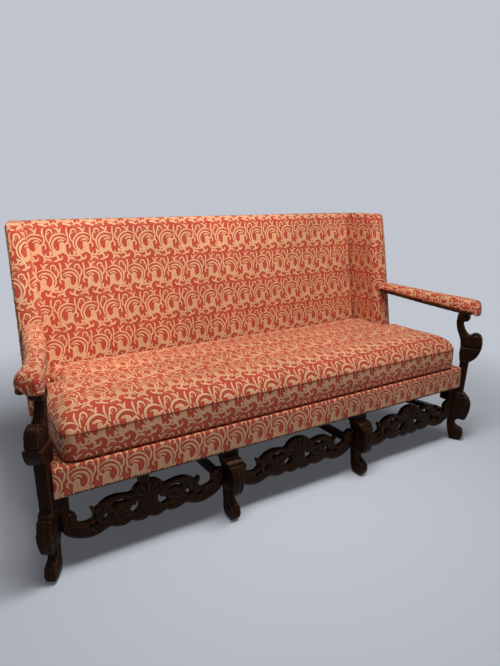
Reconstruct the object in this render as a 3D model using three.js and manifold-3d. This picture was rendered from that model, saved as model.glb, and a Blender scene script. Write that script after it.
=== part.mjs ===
// High back settee: a tall raked back with wings, open padded arms, one long loose
// seat cushion, and a walnut underframe of four scroll legs joined by pierced
// stretchers. Millimetres, +X to the right and -Y to the front as the settee is
// looked at, +Z up. Left and right in the names are as seen from the front.
import * as THREE from 'three';
import { mergeVertices } from 'three/addons/utils/BufferGeometryUtils.js';
import Module from 'manifold-3d';

const wasm = await Module();
wasm.setup();

// Clearance between pieces that touch, and how far a cutting solid runs past a face.
const seat_gap = 0.3;
const overrun = 5;

// How finely curves are cut, and how close two points are to count as one.
const curve_steps = 2;
const round_steps = 4;
const merge_tolerance = 0.0001;

// Heights.
const settee_height = 1100;
const rail_bottom = 281;
const rail_height = 66;
const deck_thickness = 41;
const arm_front_underside = 651;
const arm_back_underside = 698;

// The seat in plan: it narrows by the taper at each end from its front face to the back
// posts.
const rail_front_y = -31;
const seat_front_half_length = 966;
const seat_taper = 64;

// Where the legs stand: the shaft centres, and how far the corner legs turn outward.
const corner_leg_offset = 7;
const corner_leg_y = 4.5;
const corner_leg_turn_deg = 30;
const inner_leg_share = 0.3346;

// The front leg: one sawn profile, with a half width for each part of its height, and
// the square head above it, which reaches up to the rail.
const leg_reach = 84;
const leg_head_height = 29;
const shaft_half_depth = 18;
const foot_half_width = 19;
const shaft_half_width = 17;
const knee_half_width = 23.5;

// The block on top of each front leg, under the seat rail.
const block_half_width = 33.5;
const block_depth = 60;
const inner_block_front_y = -20;
const corner_block_front_y = -15;
const corner_block_length = 55;
const corner_head_width = 40;

// The plain post outside the rail's corner, and the carved arm support on top of it.
const post_width = 40;
const post_foot_reach = 4;
const post_head_reach = 15;
const support_bottom = 417;
const support_reach = 106;
const support_block_half_width = 30;
const support_block_height = 70;
const support_scroll_half_width = 21.5;
const support_neck_half_width = 16;
const support_cap_half_width = 20;

// Front stretchers: pierced boards between the legs.
const stretcher_bottom = 98;
const stretcher_height = 152;
const stretcher_thickness = 34;
const stretcher_front_y = -15;
const volute_clearance = 1.5;
const crest_block_width = 38;
const crest_block_thickness = 24;
const crest_block_offset = 16;

// Plain stretchers behind.
const side_stretcher_width = 30;
const side_stretcher_height = 28;
const side_stretcher_bottom = 120;
const side_stretcher_shift = 7;
const rear_stretcher_thickness = 22;

// Seat frame and what it carries.
const border_thickness = 9;
const rail_thickness = 26;
const cross_rail_width = 40;
const dust_cover_thickness = 2;
const web_width = 52;
const web_thickness = 3;
const web_lift = 9;
const long_web_count = 5;
const bay_web_count = 4;
const spring_rows = 3;
const springs_per_bay = 3;
const spring_end_radius = 42;
const spring_waist_radius = 26;
const spring_sides = 8;
const cord_width = 4;

// Back: posts with the rear legs sawn from the same plank, rails and upholstery.
const back_rake = 0.1615;
const back_face_top_y = 715;
const back_pad_thickness = 40;
const back_post_thickness = 32;
const back_post_width = 46;
const back_foot_y = 722;
const back_knee_z = 290;
const top_rail_height = 58;
const lower_rail_height = 60;
const lower_rail_lift = 17;
const back_cover_thickness = 5;
const top_padding = 12;
const top_front_radius = 24;
const top_back_length = 30;
const top_back_drop = 9;

// Wings: measured across the settee at the back edge, then forward to the nose.
const wing_back_inset = 5;
const wing_flare = 50;
const wing_root_thickness = 40;
const wing_top_depth = 188;
const wing_depth = 202;
const wing_nose_top_thickness = 60;
const wing_nose_thickness = 92;
const wing_taper_height = 400;
const wing_board_thickness = 18;
const wing_cover_thickness = 5;
const wing_nose_padding = 16;

// Arms: the middle line runs from the wing's nose and flares outward to the front.
const arm_rail_thickness = 13;
const arm_pad_height = 60;
const arm_lip_drop = 4;
const arm_width = 84;
const arm_rail_inset = 3;
const arm_wing_offset = 49;
const arm_front_offset = 33;
const arm_nose_y = -80;
const arm_level_share = 0.86;
const arm_rail_end_share = 0.955;

// Loose seat cushion.
const cushion_front_y = -44;
const cushion_back_margin = 3;
const cushion_front_margin = 21;
const cushion_side_taper = 10;
const cushion_wing_margin = 4;
const cushion_neck_margin = 6;
const cushion_height = 145;
const cushion_end_rise = 20;
const cushion_rise_length = 120;
const cushion_front_corner = 58;
const cushion_ear_corner = 26;
const cushion_neck_corner = 12;
const cushion_back_corner = 24;
const cushion_corner_min = 6;

// Outline of the front leg, as shares of its reach and its height: sole, scrolled
// foot, instep and C-shaped knee in front, then the hollow heel behind.
const leg_front_shares = [
  [[0.04, 0], [0.45, 0]],
  [[0.45, 0], [0.6, 0.025], [0.69, 0.085], [0.715, 0.155], [0.64, 0.225], [0.45, 0.268], [0.3, 0.285]],
  [[0.3, 0.285], [0.215, 0.365], [0.26, 0.42], [0.45, 0.462]],
  [[0.45, 0.462], [0.655, 0.446], [0.79, 0.468], [0.91, 0.556], [0.99, 0.675],
    [0.995, 0.775], [0.925, 0.855], [0.8, 0.925], [0.655, 0.97], [0.51, 1]],
];
const leg_back_shares = [[-0.215, 0.36], [-0.185, 0.3], [-0.13, 0.2], [-0.055, 0.09], [0.04, 0]];
// Front view of a leg up to the knee, as shares of foot, shaft or knee half width and
// of the leg's height.
const foot_width_shares = [[0.6, 0], [0.9, 0.05], [1, 0.12], [0.95, 0.2], [0.85, 0.27]];
const shaft_width_shares = [[1, 0.33], [1, 0.37]];
const knee_width_shares = [[0.74, 0.44], [0.92, 0.54], [1, 0.66]];
// Front view of an inner leg above the knee, as shares of block width and leg height.
const inner_top_shares = [[0.7, 0.85], [0.82, 0.88], [0.94, 0.93], [1, 0.99]];

// Outline of the arm support, as shares of its reach and of its height: block and
// ball, the curled top, the hollow neck, the small scroll under the arm, the back.
const support_front_shares = [
  [[0.13, 0], [0.52, 0]],
  [[0.52, 0], [0.75, 0.075], [0.915, 0.185], [1, 0.32], [0.985, 0.45], [0.945, 0.53],
    [0.87, 0.585], [0.74, 0.61], [0.6, 0.605], [0.49, 0.57], [0.4, 0.55]],
  [[0.4, 0.55], [0.28, 0.62], [0.17, 0.72], [0.13, 0.8], [0.16, 0.835]],
  [[0.16, 0.835], [0.25, 0.838], [0.35, 0.87], [0.38, 0.915], [0.36, 0.965], [0.33, 1]],
];
const support_back_shares = [[-0.14, 1], [-0.18, 0.84], [-0.16, 0.73], [-0.09, 0.62],
  [0.02, 0.51], [0.08, 0.4], [0.09, 0.25], [0.075, 0.18], [0.13, 0]];
// Heights where the arm support's front view changes width.
const scroll_top_share = 0.545;
const neck_start_share = 0.6;
const neck_end_share = 0.81;
const cap_start_share = 0.86;

// Half outline of a front stretcher from the middle of its crest to the leg, as
// shares of the half length and the height: shell crest, leaf shoulder, curled leaf
// tip, open notch, volute at the leg, and the scalloped lower edge.
const stretcher_upper_shares = [
  [[0, 1], [0.07, 0.985], [0.13, 0.945], [0.172, 0.875], [0.195, 0.8]],
  [[0.195, 0.8], [0.24, 0.79], [0.3, 0.815], [0.38, 0.835], [0.47, 0.82],
    [0.545, 0.76], [0.595, 0.68], [0.62, 0.655]],
  [[0.62, 0.655], [0.648, 0.7], [0.665, 0.705], [0.672, 0.645], [0.648, 0.55],
    [0.65, 0.46], [0.69, 0.405], [0.74, 0.395], [0.8, 0.42]],
  [[0.8, 0.42], [0.832, 0.5], [0.822, 0.6], [0.845, 0.7], [0.9, 0.765],
    [0.96, 0.765], [1, 0.73]],
];
const stretcher_lower_shares = [
  [[1, 0.36], [0.955, 0.225], [0.89, 0.125], [0.8, 0.045], [0.7, 0], [0.6, 0.015],
    [0.53, 0.07], [0.46, 0.115]],
  [[0.46, 0.115], [0.4, 0.06], [0.32, 0.035], [0.25, 0.055], [0.215, 0.1]],
  [[0.215, 0.1], [0.16, 0.04], [0.09, 0.015], [0.045, 0.03], [0, 0.075]],
];
const volute_top_share = 0.765;
// Piercings of a front stretcher in the same shares: the curved slot in the shoulder
// and the comma beside the middle stem.
const slot_shares = [[0.245, 0.64], [0.3, 0.695], [0.37, 0.7], [0.425, 0.635], [0.42, 0.585],
  [0.37, 0.63], [0.3, 0.615]];
const comma_shares = [[0.118, 0.54], [0.15, 0.52], [0.16, 0.42], [0.225, 0.37], [0.235, 0.315],
  [0.165, 0.3], [0.12, 0.35]];

// Section of the front border's face: shares of its thickness, then of its height.
const border_face_shares = [[0, 0], [0.6, 0], [1, 0.09], [1.15, 0.5], [1, 0.91], [0.45, 1], [0, 1]];

// Plan of a wing's nose: shares of the nose thickness from its inner edge, and of
// the wing's depth behind its tip.
const nose_plan_shares = [[0, 0.115], [0.12, 0.035], [0.36, 0], [0.7, 0.005], [0.95, 0.045], [1, 0.083]];
// How a wing's top rounds over, as shares of the top padding: drop and inset.
const wing_top_shares = [[1, 0], [0.45, 0.15], [0.12, 0.5], [0, 1.1]];

// How a wing's nose grows from the top down: shares of the taper height and of the growth.
const wing_taper_shares = [[0, 0], [0.1, 0.34], [0.3, 0.66], [0.6, 0.88], [1, 1]];

// The arm's stations from wing to nose: place along it, sideways drift, breadth and
// padding height, all as shares.
const arm_station_shares = [
  [0, 0, 0.98, 0.5], [0.1, 0.075, 0.97, 0.54], [0.196, 0.157, 0.95, 0.585],
  [0.335, 0.28, 0.93, 0.66], [0.477, 0.389, 0.905, 0.74], [0.58, 0.5, 0.88, 0.79],
  [0.685, 0.62, 0.87, 0.84], [0.76, 0.72, 0.9, 0.88], [0.815, 0.8, 0.96, 0.91],
  [0.865, 0.89, 1.04, 0.93], [0.907, 0.965, 1.11, 0.92], [0.944, 0.963, 0.952, 0.87],
  [0.972, 0.9, 0.66, 0.95], [0.991, 0.84, 0.4, 0.8], [1, 0.81, 0.2, 0.6],
];
const arm_section_shares = [[1, 0], [1.02, 0.3], [0.93, 0.62], [0.7, 0.86], [0.38, 0.97], [0, 1]];

// Levels of the cushion from its underside up: shares of the inset scale, of its
// height, and of the extra rise of its ends. Piping stands proud at both seams and the
// border is drawn in beside it. Then the crown: shares of the plan and of the height.
const cushion_inset_scale = 100;
const cushion_level_shares = [
  [0.3, 0, 0], [0.1, 0.004, 0], [0.03, 0.018, 0], [0, 0.036, 0], [0.02, 0.056, 0],
  [0.07, 0.068, 0], [0.045, 0.15, 0.1], [0.02, 0.35, 0.4], [0.03, 0.5, 0.7], [0.075, 0.602, 0.95],
  [0.02, 0.617, 1], [0, 0.637, 1], [0.02, 0.66, 1], [0.07, 0.685, 1], [0.15, 0.775, 0.95],
  [0.3, 0.875, 0.8], [0.55, 0.945, 0.5], [0.9, 0.98, 0.2],
];
const cushion_crown_shares = [[0.8, 0.995], [0.5, 1], [0.2, 1]];

const walnut = { color: 0x2a1710, roughness: 0.35, metalness: 0 };
const beech = { color: 0xb98b58, roughness: 0.7, metalness: 0 };
const damask = { color: 0xc4573f, roughness: 0.85, metalness: 0 };
const cambric = { color: 0x25221f, roughness: 0.95, metalness: 0 };
const jute = { color: 0xa88b5c, roughness: 0.95, metalness: 0 };
const steel = { color: 0x8a8a86, roughness: 0.4, metalness: 1 };

const settee = new THREE.Group();
const turn = THREE.MathUtils.degToRad(corner_leg_turn_deg);

function addPiece(name, finish, geometry) {
  const mesh = new THREE.Mesh(geometry, new THREE.MeshStandardMaterial(finish));
  mesh.name = name;
  settee.add(mesh);
}

function addPair(name, finish, geometry) {
  addPiece(`${name}_right`, finish, geometry);
  addPiece(`${name}_left`, finish, mirrored(geometry));
}

// Solids and geometries

function toSolid(geometry) {
  const bare = geometry.clone();
  bare.deleteAttribute('normal');
  bare.deleteAttribute('uv');
  const merged = mergeVertices(bare, merge_tolerance);
  const kept = [];
  const index = merged.index.array;
  for (let i = 0; i < index.length; i += 3) {
    const corners = [index[i], index[i + 1], index[i + 2]];
    if (new Set(corners).size === 3) {
      kept.push(...corners);
    }
  }
  const mesh = new wasm.Mesh({
    numProp: 3,
    vertProperties: new Float32Array(merged.attributes.position.array),
    triVerts: new Uint32Array(kept),
  });
  return new wasm.Manifold(mesh);
}

function toGeometry(solid) {
  const mesh = solid.getMesh();
  const geometry = new THREE.BufferGeometry();
  geometry.setAttribute('position', new THREE.BufferAttribute(new Float32Array(mesh.vertProperties), 3));
  geometry.setIndex(new THREE.BufferAttribute(new Uint32Array(mesh.triVerts), 1));
  return geometry;
}

function join(geometries) {
  const solids = geometries.map(toSolid);
  return toGeometry(solids.reduce((sum, solid) => sum.add(solid)));
}

function cut(geometry, tools) {
  const start = toSolid(geometry);
  return toGeometry(tools.map(toSolid).reduce((rest, tool) => rest.subtract(tool), start));
}

function common(first, second) {
  return toGeometry(toSolid(first).intersect(toSolid(second)));
}

function mirrored(geometry) {
  return toGeometry(toSolid(geometry).mirror([1, 0, 0]));
}

function box(low, high) {
  const size = high.map((value, i) => value - low[i]);
  const middle = high.map((value, i) => (value + low[i]) / 2);
  return new THREE.BoxGeometry(...size).translate(...middle);
}

// A shape whose runs are smooth curves, or lines where a run has two points.
function outline(runs) {
  const shape = new THREE.Shape();
  shape.moveTo(...runs[0][0]);
  for (const run of runs) {
    const rest = run.slice(1).map(([x, y]) => new THREE.Vector2(x, y));
    if (rest.length === 1) {
      shape.lineTo(rest[0].x, rest[0].y);
    } else {
      shape.splineThru(rest);
    }
  }
  return shape;
}

function polygon(points) {
  return new THREE.Shape(points.map(([x, y]) => new THREE.Vector2(x, y)));
}

function extrude(shape, depth) {
  const options = { depth, bevelEnabled: false, curveSegments: curve_steps };
  return new THREE.ExtrudeGeometry(shape, options).translate(0, 0, -depth / 2);
}

// A board sawn to a side profile: the shape's x runs forward and its y runs up.
function sawnFromSide(shape, width) {
  const basis = new THREE.Matrix4().makeBasis(
    new THREE.Vector3(0, -1, 0), new THREE.Vector3(0, 0, 1), new THREE.Vector3(-1, 0, 0));
  return extrude(shape, width).applyMatrix4(basis);
}

// A board sawn to a front profile: the shape's x runs along X and its y runs up.
function sawnFromFront(shape, depth) {
  const basis = new THREE.Matrix4().makeBasis(
    new THREE.Vector3(1, 0, 0), new THREE.Vector3(0, 0, 1), new THREE.Vector3(0, -1, 0));
  return extrude(shape, depth).applyMatrix4(basis);
}

function sawnFromAbove(shape, bottom, top) {
  return extrude(shape, top - bottom).translate(0, 0, (top + bottom) / 2);
}

// A closed skin over rings of points, each ring with the same count, both ends capped.
function loft(rings) {
  const count = rings[0].length;
  const points = rings.flat();
  const faces = [];
  for (let ring = 0; ring + 1 < rings.length; ring += 1) {
    for (let i = 0; i < count; i += 1) {
      const a = ring * count + i;
      const b = ring * count + ((i + 1) % count);
      faces.push([a, b, b + count], [a, b + count, a + count]);
    }
  }
  for (const end of [0, rings.length - 1]) {
    const middle = new THREE.Vector3();
    rings[end].forEach((point) => middle.addScaledVector(point, 1 / count));
    points.push(middle);
    for (let i = 0; i < count; i += 1) {
      const a = end * count + i;
      const b = end * count + ((i + 1) % count);
      faces.push(end === 0 ? [b, a, points.length - 1] : [a, b, points.length - 1]);
    }
  }
  const outward = signedVolume(points, faces) > 0;
  const geometry = new THREE.BufferGeometry();
  const flat = points.flatMap((point) => [point.x, point.y, point.z]);
  geometry.setAttribute('position', new THREE.BufferAttribute(new Float32Array(flat), 3));
  geometry.setIndex(faces.flatMap(([a, b, c]) => (outward ? [a, b, c] : [a, c, b])));
  return geometry;
}

function signedVolume(points, faces) {
  let six_volumes = 0;
  for (const [a, b, c] of faces) {
    six_volumes += points[a].dot(new THREE.Vector3().crossVectors(points[b], points[c]));
  }
  return six_volumes;
}

function scaled(shares, width, height, bottom = 0) {
  return shares.map(([x, y]) => [x * width, bottom + y * height]);
}

function bothSides(points) {
  return [...points, ...points.map(([x, y]) => [-x, y]).reverse()];
}

// Places that several pieces share

const leg_height = rail_bottom - leg_head_height;
const seat_rear_half_length = seat_front_half_length - seat_taper;
const rail_top = rail_bottom + rail_height;
const deck_bottom = rail_top + seat_gap;
const deck_top = deck_bottom + deck_thickness;
const corner_leg_x = seat_front_half_length + corner_leg_offset;
const inner_leg_x = inner_leg_share * corner_leg_x;
const rail_front = rail_front_y + border_thickness + seat_gap;
const rear_rail_back = postFrontY(rail_bottom) - seat_gap;
const rear_rail_front = rear_rail_back - rail_thickness;
const back_thickness = back_pad_thickness + back_post_thickness + back_cover_thickness + 2 * seat_gap;
const panel_front = back_thickness - back_cover_thickness;
const wing_back_x = seat_rear_half_length - wing_back_inset;
const wing_front_x = wing_back_x + wing_flare;
const wing_crease_x = wing_back_x - wing_root_thickness;
const outer_post_face = wingOuterX(panel_front) - wing_cover_thickness - wing_board_thickness - 3 * seat_gap;
const outer_post_x = outer_post_face - back_post_width / 2;

// The visible face of the back, and the front face of the posts behind the padding.
function backFaceY(z) {
  return back_face_top_y - back_rake * (settee_height - z);
}

function postFrontY(z) {
  return backFaceY(Math.max(z, back_knee_z)) + back_pad_thickness + seat_gap;
}

// Half length of the seat at a depth, on its outer face.
function seatHalfLength(y) {
  const share = (y - rail_front_y) / (rear_rail_back - rail_front_y);
  return seat_front_half_length + share * (seat_rear_half_length - seat_front_half_length);
}

// Outer face of a wing, at a distance behind the visible face of the back.
function wingOuterX(behind) {
  const share = (behind + wing_depth) / (back_thickness + wing_depth);
  return wing_front_x + share * (wing_back_x - wing_front_x);
}

// Front legs

function legProfile() {
  const front = leg_front_shares.map((run) => scaled(run, leg_reach, leg_height));
  const back = scaled(leg_back_shares, leg_reach, leg_height);
  const top_back = [-shaft_half_depth, leg_height];
  return outline([...front, [front.at(-1).at(-1), top_back], [top_back, back[0]], back]);
}

function scrollLeg(above) {
  const foot = scaled(foot_width_shares, foot_half_width, leg_height);
  const shaft = scaled(shaft_width_shares, shaft_half_width, leg_height);
  const knee = scaled(knee_width_shares, knee_half_width, leg_height);
  const front_view = polygon(bothSides([...foot, ...shaft, ...knee, ...above]));
  return common(
    sawnFromSide(legProfile(), 2 * block_half_width + overrun),
    sawnFromFront(front_view, 2 * (leg_reach + overrun)));
}

function innerLeg() {
  const above = scaled(inner_top_shares, block_half_width, leg_height);
  const leg = scrollLeg([...above, [block_half_width, leg_height + overrun]]);
  const block = box(
    [-block_half_width, inner_block_front_y, leg_height - overrun],
    [block_half_width, inner_block_front_y + block_depth, rail_bottom - seat_gap]);
  return join([leg, block]).translate(inner_leg_x, 0, 0);
}

function cornerLeg() {
  const leg = scrollLeg([[knee_half_width, leg_height + overrun]]);
  const head_bottom = leg_height - overrun;
  const head_top = rail_bottom - seat_gap;
  const head = box(
    [-corner_head_width / 2, -post_foot_reach - post_width, head_bottom],
    [corner_head_width / 2, shaft_half_depth, head_top]);
  const turned = join([leg, head, leaningPost(0)]);
  const block_bottom = stretcher_bottom + volute_top_share * stretcher_height + volute_clearance;
  const block = box(
    [corner_leg_x - corner_block_length, corner_block_front_y, block_bottom],
    [corner_leg_x, corner_block_front_y + block_depth, head_top]);
  return join([atCorner(turned), block]);
}

// The plain post above the knee, grown by a clearance where it is a cutting solid.
function leaningPost(clearance) {
  const lean = (post_head_reach - post_foot_reach) / (support_bottom - leg_height);
  const bottom = leg_height - overrun;
  const top = support_bottom - seat_gap + clearance;
  const back = (z) => post_foot_reach + lean * (z - leg_height) - clearance;
  const front = (z) => back(z) + post_width + 2 * clearance;
  return sawnFromSide(polygon([
    [back(bottom), bottom], [front(bottom), bottom], [front(top), top], [back(top), top],
  ]), post_width + 2 * clearance);
}

function atCorner(geometry) {
  return geometry.rotateZ(turn).translate(corner_leg_x, corner_leg_y, 0);
}

function postSpaces() {
  const right = atCorner(leaningPost(seat_gap));
  return [right, mirrored(right)];
}

// The turned space round a corner leg's shaft and knee, with the clearance.
function cornerLegSpace() {
  const half = knee_half_width + seat_gap;
  return atCorner(box([-half, -leg_reach, 0], [half, shaft_half_depth + seat_gap, leg_height]));
}

function armSupport() {
  const height = arm_front_underside - seat_gap - support_bottom;
  const top = support_bottom + height;
  const front = support_front_shares.map((run) => scaled(run, support_reach, height, support_bottom));
  const back = scaled(support_back_shares, support_reach, height, support_bottom);
  const profile = outline([...front, [front.at(-1).at(-1), back[0]], back]);
  const block_top = support_bottom + support_block_height;
  const front_view = polygon(bothSides([
    [support_block_half_width, support_bottom - overrun],
    [support_block_half_width, block_top],
    [support_scroll_half_width, block_top],
    [support_scroll_half_width, support_bottom + scroll_top_share * height],
    [support_neck_half_width, support_bottom + neck_start_share * height],
    [support_neck_half_width, support_bottom + neck_end_share * height],
    [support_cap_half_width, support_bottom + cap_start_share * height],
    [support_cap_half_width, top + overrun],
  ]));
  return atCorner(common(
    sawnFromSide(profile, 2 * support_block_half_width + overrun),
    sawnFromFront(front_view, 2 * (support_reach + overrun))));
}

// Stretchers

function stretcherBoard(half_length) {
  const place = (run) => scaled(run, half_length, stretcher_height, stretcher_bottom);
  const upper = stretcher_upper_shares.map(place);
  const lower = stretcher_lower_shares.map(place);
  const right_runs = [...upper, [upper.at(-1).at(-1), lower[0][0]], ...lower];
  const left_runs = right_runs.slice().reverse()
    .map((run) => run.slice().reverse().map(([x, z]) => [-x, z]));
  const shape = outline([...right_runs, ...left_runs]);
  for (const side of [-1, 1]) {
    for (const shares of [slot_shares, comma_shares]) {
      const points = place(shares).map(([x, z]) => [side * x, z]);
      // A hole runs the other way round from the outline.
      const loop = side > 0 ? points.reverse() : points;
      shape.holes.push(outline([[...loop, loop[0]]]));
    }
  }
  const middle_y = stretcher_front_y + stretcher_thickness / 2;
  return sawnFromFront(shape, stretcher_thickness).translate(0, middle_y, 0);
}

const inner_leg_side = inner_leg_x + knee_half_width + seat_gap;
const bay_centre_x = (inner_leg_x + corner_leg_x) / 2;

function bayStretcher() {
  const board = stretcherBoard(bay_centre_x - inner_leg_side).translate(bay_centre_x, 0, 0);
  return cut(board, [cornerLegSpace()]);
}

function centreStretcher() {
  return stretcherBoard(inner_leg_x - knee_half_width - seat_gap);
}

// The small block between the left crest and the seat rail, grown by a clearance in plan
// where it is a cutting solid.
function crestBlock(clearance = 0) {
  const middle = -bay_centre_x - crest_block_offset;
  const half = crest_block_width / 2 + clearance;
  const back_y = stretcher_front_y + crest_block_thickness + clearance;
  const bottom = stretcher_bottom + stretcher_height + seat_gap;
  return box([middle - half, stretcher_front_y - clearance, bottom],
    [middle + half, back_y, rail_bottom - seat_gap + clearance]);
}

// Front face of the back posts, with the rear legs that sweep back to the floor.
function postFaceY(z) {
  const sweep = Math.max(0, 1 - z / back_knee_z);
  return postFrontY(z) + sweep * (back_foot_y - postFrontY(0));
}

function sideStretcher(front_x, front_y, back_x) {
  const top = side_stretcher_bottom + side_stretcher_height;
  const half = side_stretcher_width / 2;
  const ring = (x, placeY) => [
    [x - half, side_stretcher_bottom], [x + half, side_stretcher_bottom], [x + half, top], [x - half, top],
  ].map(([side, z]) => new THREE.Vector3(side, placeY(z), z));
  return loft([ring(front_x, () => front_y), ring(back_x, (z) => postFaceY(z) - seat_gap)]);
}

function cornerSideStretcher() {
  const front_x = corner_leg_x - side_stretcher_shift;
  return cut(sideStretcher(front_x, corner_leg_y, outer_post_x), [cornerLegSpace()]);
}

function innerSideStretcher() {
  return sideStretcher(inner_leg_x, shaft_half_depth + seat_gap, inner_leg_x);
}

function rearStretcher(low_x, high_x) {
  const top = side_stretcher_bottom + side_stretcher_height;
  const middle_y = postFaceY((side_stretcher_bottom + top) / 2) + back_post_thickness / 2;
  const margin = back_post_width / 2 + seat_gap;
  return box(
    [low_x + margin, middle_y - rear_stretcher_thickness / 2, side_stretcher_bottom],
    [high_x - margin, middle_y + rear_stretcher_thickness / 2, top]);
}

// Back posts and rails

const post_top = settee_height - top_padding - top_rail_height - 2 * seat_gap;

function backPost() {
  const front = [0, back_knee_z, post_top].map((z) => [-postFaceY(z), z]);
  const back = front.map(([y, z]) => [y - back_post_thickness, z]).reverse();
  return sawnFromSide(polygon([...front, ...back]), back_post_width);
}

// A solid that follows the rake: plan points are X and distance behind the back's face.
function raked(plan, bottom, top) {
  const floor_y = back_face_top_y - back_rake * settee_height;
  const shear = new THREE.Matrix4().set(1, 0, 0, 0, 0, 1, back_rake, floor_y, 0, 0, 1, 0, 0, 0, 0, 1);
  return sawnFromAbove(polygon(plan), bottom, top).applyMatrix4(shear);
}

function rakedBoard(low_x, high_x, front, thickness, bottom, top) {
  return raked([[low_x, front], [high_x, front], [high_x, front + thickness], [low_x, front + thickness]],
    bottom, top);
}

const post_front = back_pad_thickness + seat_gap;

function topRail() {
  const bottom = post_top + seat_gap;
  return rakedBoard(-outer_post_face, outer_post_face, post_front, back_post_thickness,
    bottom, bottom + top_rail_height);
}

function lowerRail(low_x, high_x) {
  const bottom = deck_top + lower_rail_lift;
  const margin = back_post_width / 2 + seat_gap;
  return rakedBoard(low_x + margin, high_x - margin, post_front, back_post_thickness,
    bottom, bottom + lower_rail_height);
}

// Section of the inside back: a slab in front of the posts and a cap over the top rail.
function insideBack() {
  const bottom = deck_top + seat_gap;
  const cap_bottom = settee_height - top_padding;
  const section = [
    [0, bottom],
    ...arc(top_front_radius, top_front_radius, top_front_radius, Math.PI, Math.PI / 2),
    ...arc(back_thickness - top_back_length, top_back_length, top_back_drop, Math.PI / 2, 0),
    [back_thickness, cap_bottom],
    [back_pad_thickness, cap_bottom],
    [back_pad_thickness, bottom],
  ];
  const points = section.map(([behind, z]) => [-backFaceY(z) - behind, z]);
  return sawnFromSide(polygon(points), 2 * (wing_crease_x - seat_gap));
}

// A quarter of an ellipse that touches the settee's top, between two angles, as
// distances behind the back's face and heights.
function arc(centre, length, drop, start, end) {
  const points = [];
  for (let step = 0; step <= round_steps; step += 1) {
    const angle = start + (step / round_steps) * (end - start);
    points.push([centre + length * Math.cos(angle), settee_height - drop + drop * Math.sin(angle)]);
  }
  return points;
}

const cap_underside = settee_height - top_padding - seat_gap;

function outsideBack() {
  const half = wingOuterX(back_thickness);
  return rakedBoard(-half, half, panel_front, back_cover_thickness, back_knee_z, cap_underside);
}

// Wings

const wing_bottom = deck_top + seat_gap;
const board_front = -wing_top_depth + wing_nose_padding + seat_gap;

function interpolate(table, x) {
  const above = Math.max(1, table.findIndex(([at]) => at >= x));
  const [low_x, low] = table[above - 1];
  const [high_x, high] = table[above];
  return low + ((x - low_x) / (high_x - low_x)) * (high - low);
}

function wingGrowth(z) {
  return interpolate(wing_taper_shares, Math.min(1, (settee_height - z) / wing_taper_height));
}

// How far a wing's nose stands in front of the back's face at a height.
function noseDepth(z) {
  return wing_top_depth + wingGrowth(z) * (wing_depth - wing_top_depth);
}

// Plan of a wing from its root to its nose and back along its outer face.
function wingPlan(z) {
  const growth = wingGrowth(z);
  const nose = wing_nose_top_thickness + growth * (wing_nose_thickness - wing_nose_top_thickness);
  const inner = wing_front_x - nose;
  const tip = nose_plan_shares.map(([across, behind]) => [inner + across * nose, (behind - 1) * noseDepth(z)]);
  return [[wing_crease_x, back_thickness], [wing_crease_x, 0], ...tip, [wing_back_x, back_thickness]];
}

// The same plan drawn in all round by an inset, level at a height.
function wingRing(z, inset) {
  const middle_depth = (back_thickness - wing_depth) / 2;
  const half_depth = (back_thickness + wing_depth) / 2;
  const half_breadth = wing_nose_top_thickness / 2;
  return wingPlan(z).map(([x, behind]) => {
    const middle_x = wingOuterX(behind) - half_breadth;
    const drawn_x = middle_x + (x - middle_x) * (1 - inset / half_breadth);
    const drawn_y = middle_depth + (behind - middle_depth) * (1 - inset / half_depth);
    return new THREE.Vector3(drawn_x, backFaceY(z) + drawn_y, z);
  });
}

function wingPad() {
  const taper = wing_taper_shares.slice(1).reverse();
  const full = loft([
    wingRing(wing_bottom, 0),
    ...taper.map(([drop]) => wingRing(settee_height - drop * wing_taper_height, 0)),
    ...wing_top_shares.map(([drop, inset]) => wingRing(
      settee_height - drop * top_padding, inset * top_padding)),
  ]);
  const board_inner = (behind) => wingOuterX(behind) - wing_cover_thickness - wing_board_thickness
    - 3 * seat_gap;
  const outside = wing_front_x + overrun;
  const pocket = raked([
    [wing_crease_x - overrun, back_pad_thickness],
    [board_inner(back_pad_thickness), back_pad_thickness],
    [board_inner(board_front), board_front - seat_gap],
    [outside, board_front - seat_gap],
    [outside, back_thickness + overrun],
    [wing_crease_x - overrun, back_thickness + overrun],
  ], wing_bottom - overrun, settee_height - top_padding);
  return cut(full, [pocket]);
}

// A sheet of the wing between two distances in from its outer face.
function wingSheet(outer, inner, back) {
  return raked([
    [wingOuterX(board_front) - inner, board_front], [wingOuterX(board_front) - outer, board_front],
    [wingOuterX(back) - outer, back], [wingOuterX(back) - inner, back],
  ], wing_bottom, cap_underside);
}

function wingBoard() {
  const outer = wing_cover_thickness + seat_gap;
  return wingSheet(outer, outer + wing_board_thickness, panel_front - seat_gap);
}

function wingCover() {
  return wingSheet(0, wing_cover_thickness, panel_front - seat_gap);
}

// Arms

const arm_back_x = wing_front_x - arm_wing_offset;
const arm_front_x = corner_leg_x + arm_front_offset;

// Underside of the arm: level over the support, then rising to the wing.
function armUnderside(along) {
  const rise = Math.max(0, 1 - along / arm_level_share);
  return arm_front_underside + rise * (arm_back_underside - arm_front_underside);
}

// A ring across the arm from points given as a distance off its middle line and a height.
function armRing(along, drift, points) {
  const middle_x = arm_back_x + drift * (arm_front_x - arm_back_x);
  return points.map(([across, z]) => {
    const back_y = backFaceY(z) - noseDepth(z) - seat_gap;
    return new THREE.Vector3(middle_x + across, back_y + along * (arm_nose_y - back_y), z);
  });
}

function armRail() {
  const rings = arm_station_shares.filter(([along]) => along < arm_rail_end_share)
    .map(([along, drift, breadth]) => {
      const half = breadth * arm_width / 2 - arm_rail_inset;
      const bottom = armUnderside(along);
      return armRing(along, drift, bothSides([[half, bottom], [half, bottom + arm_rail_thickness]]));
    });
  return loft(rings);
}

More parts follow.
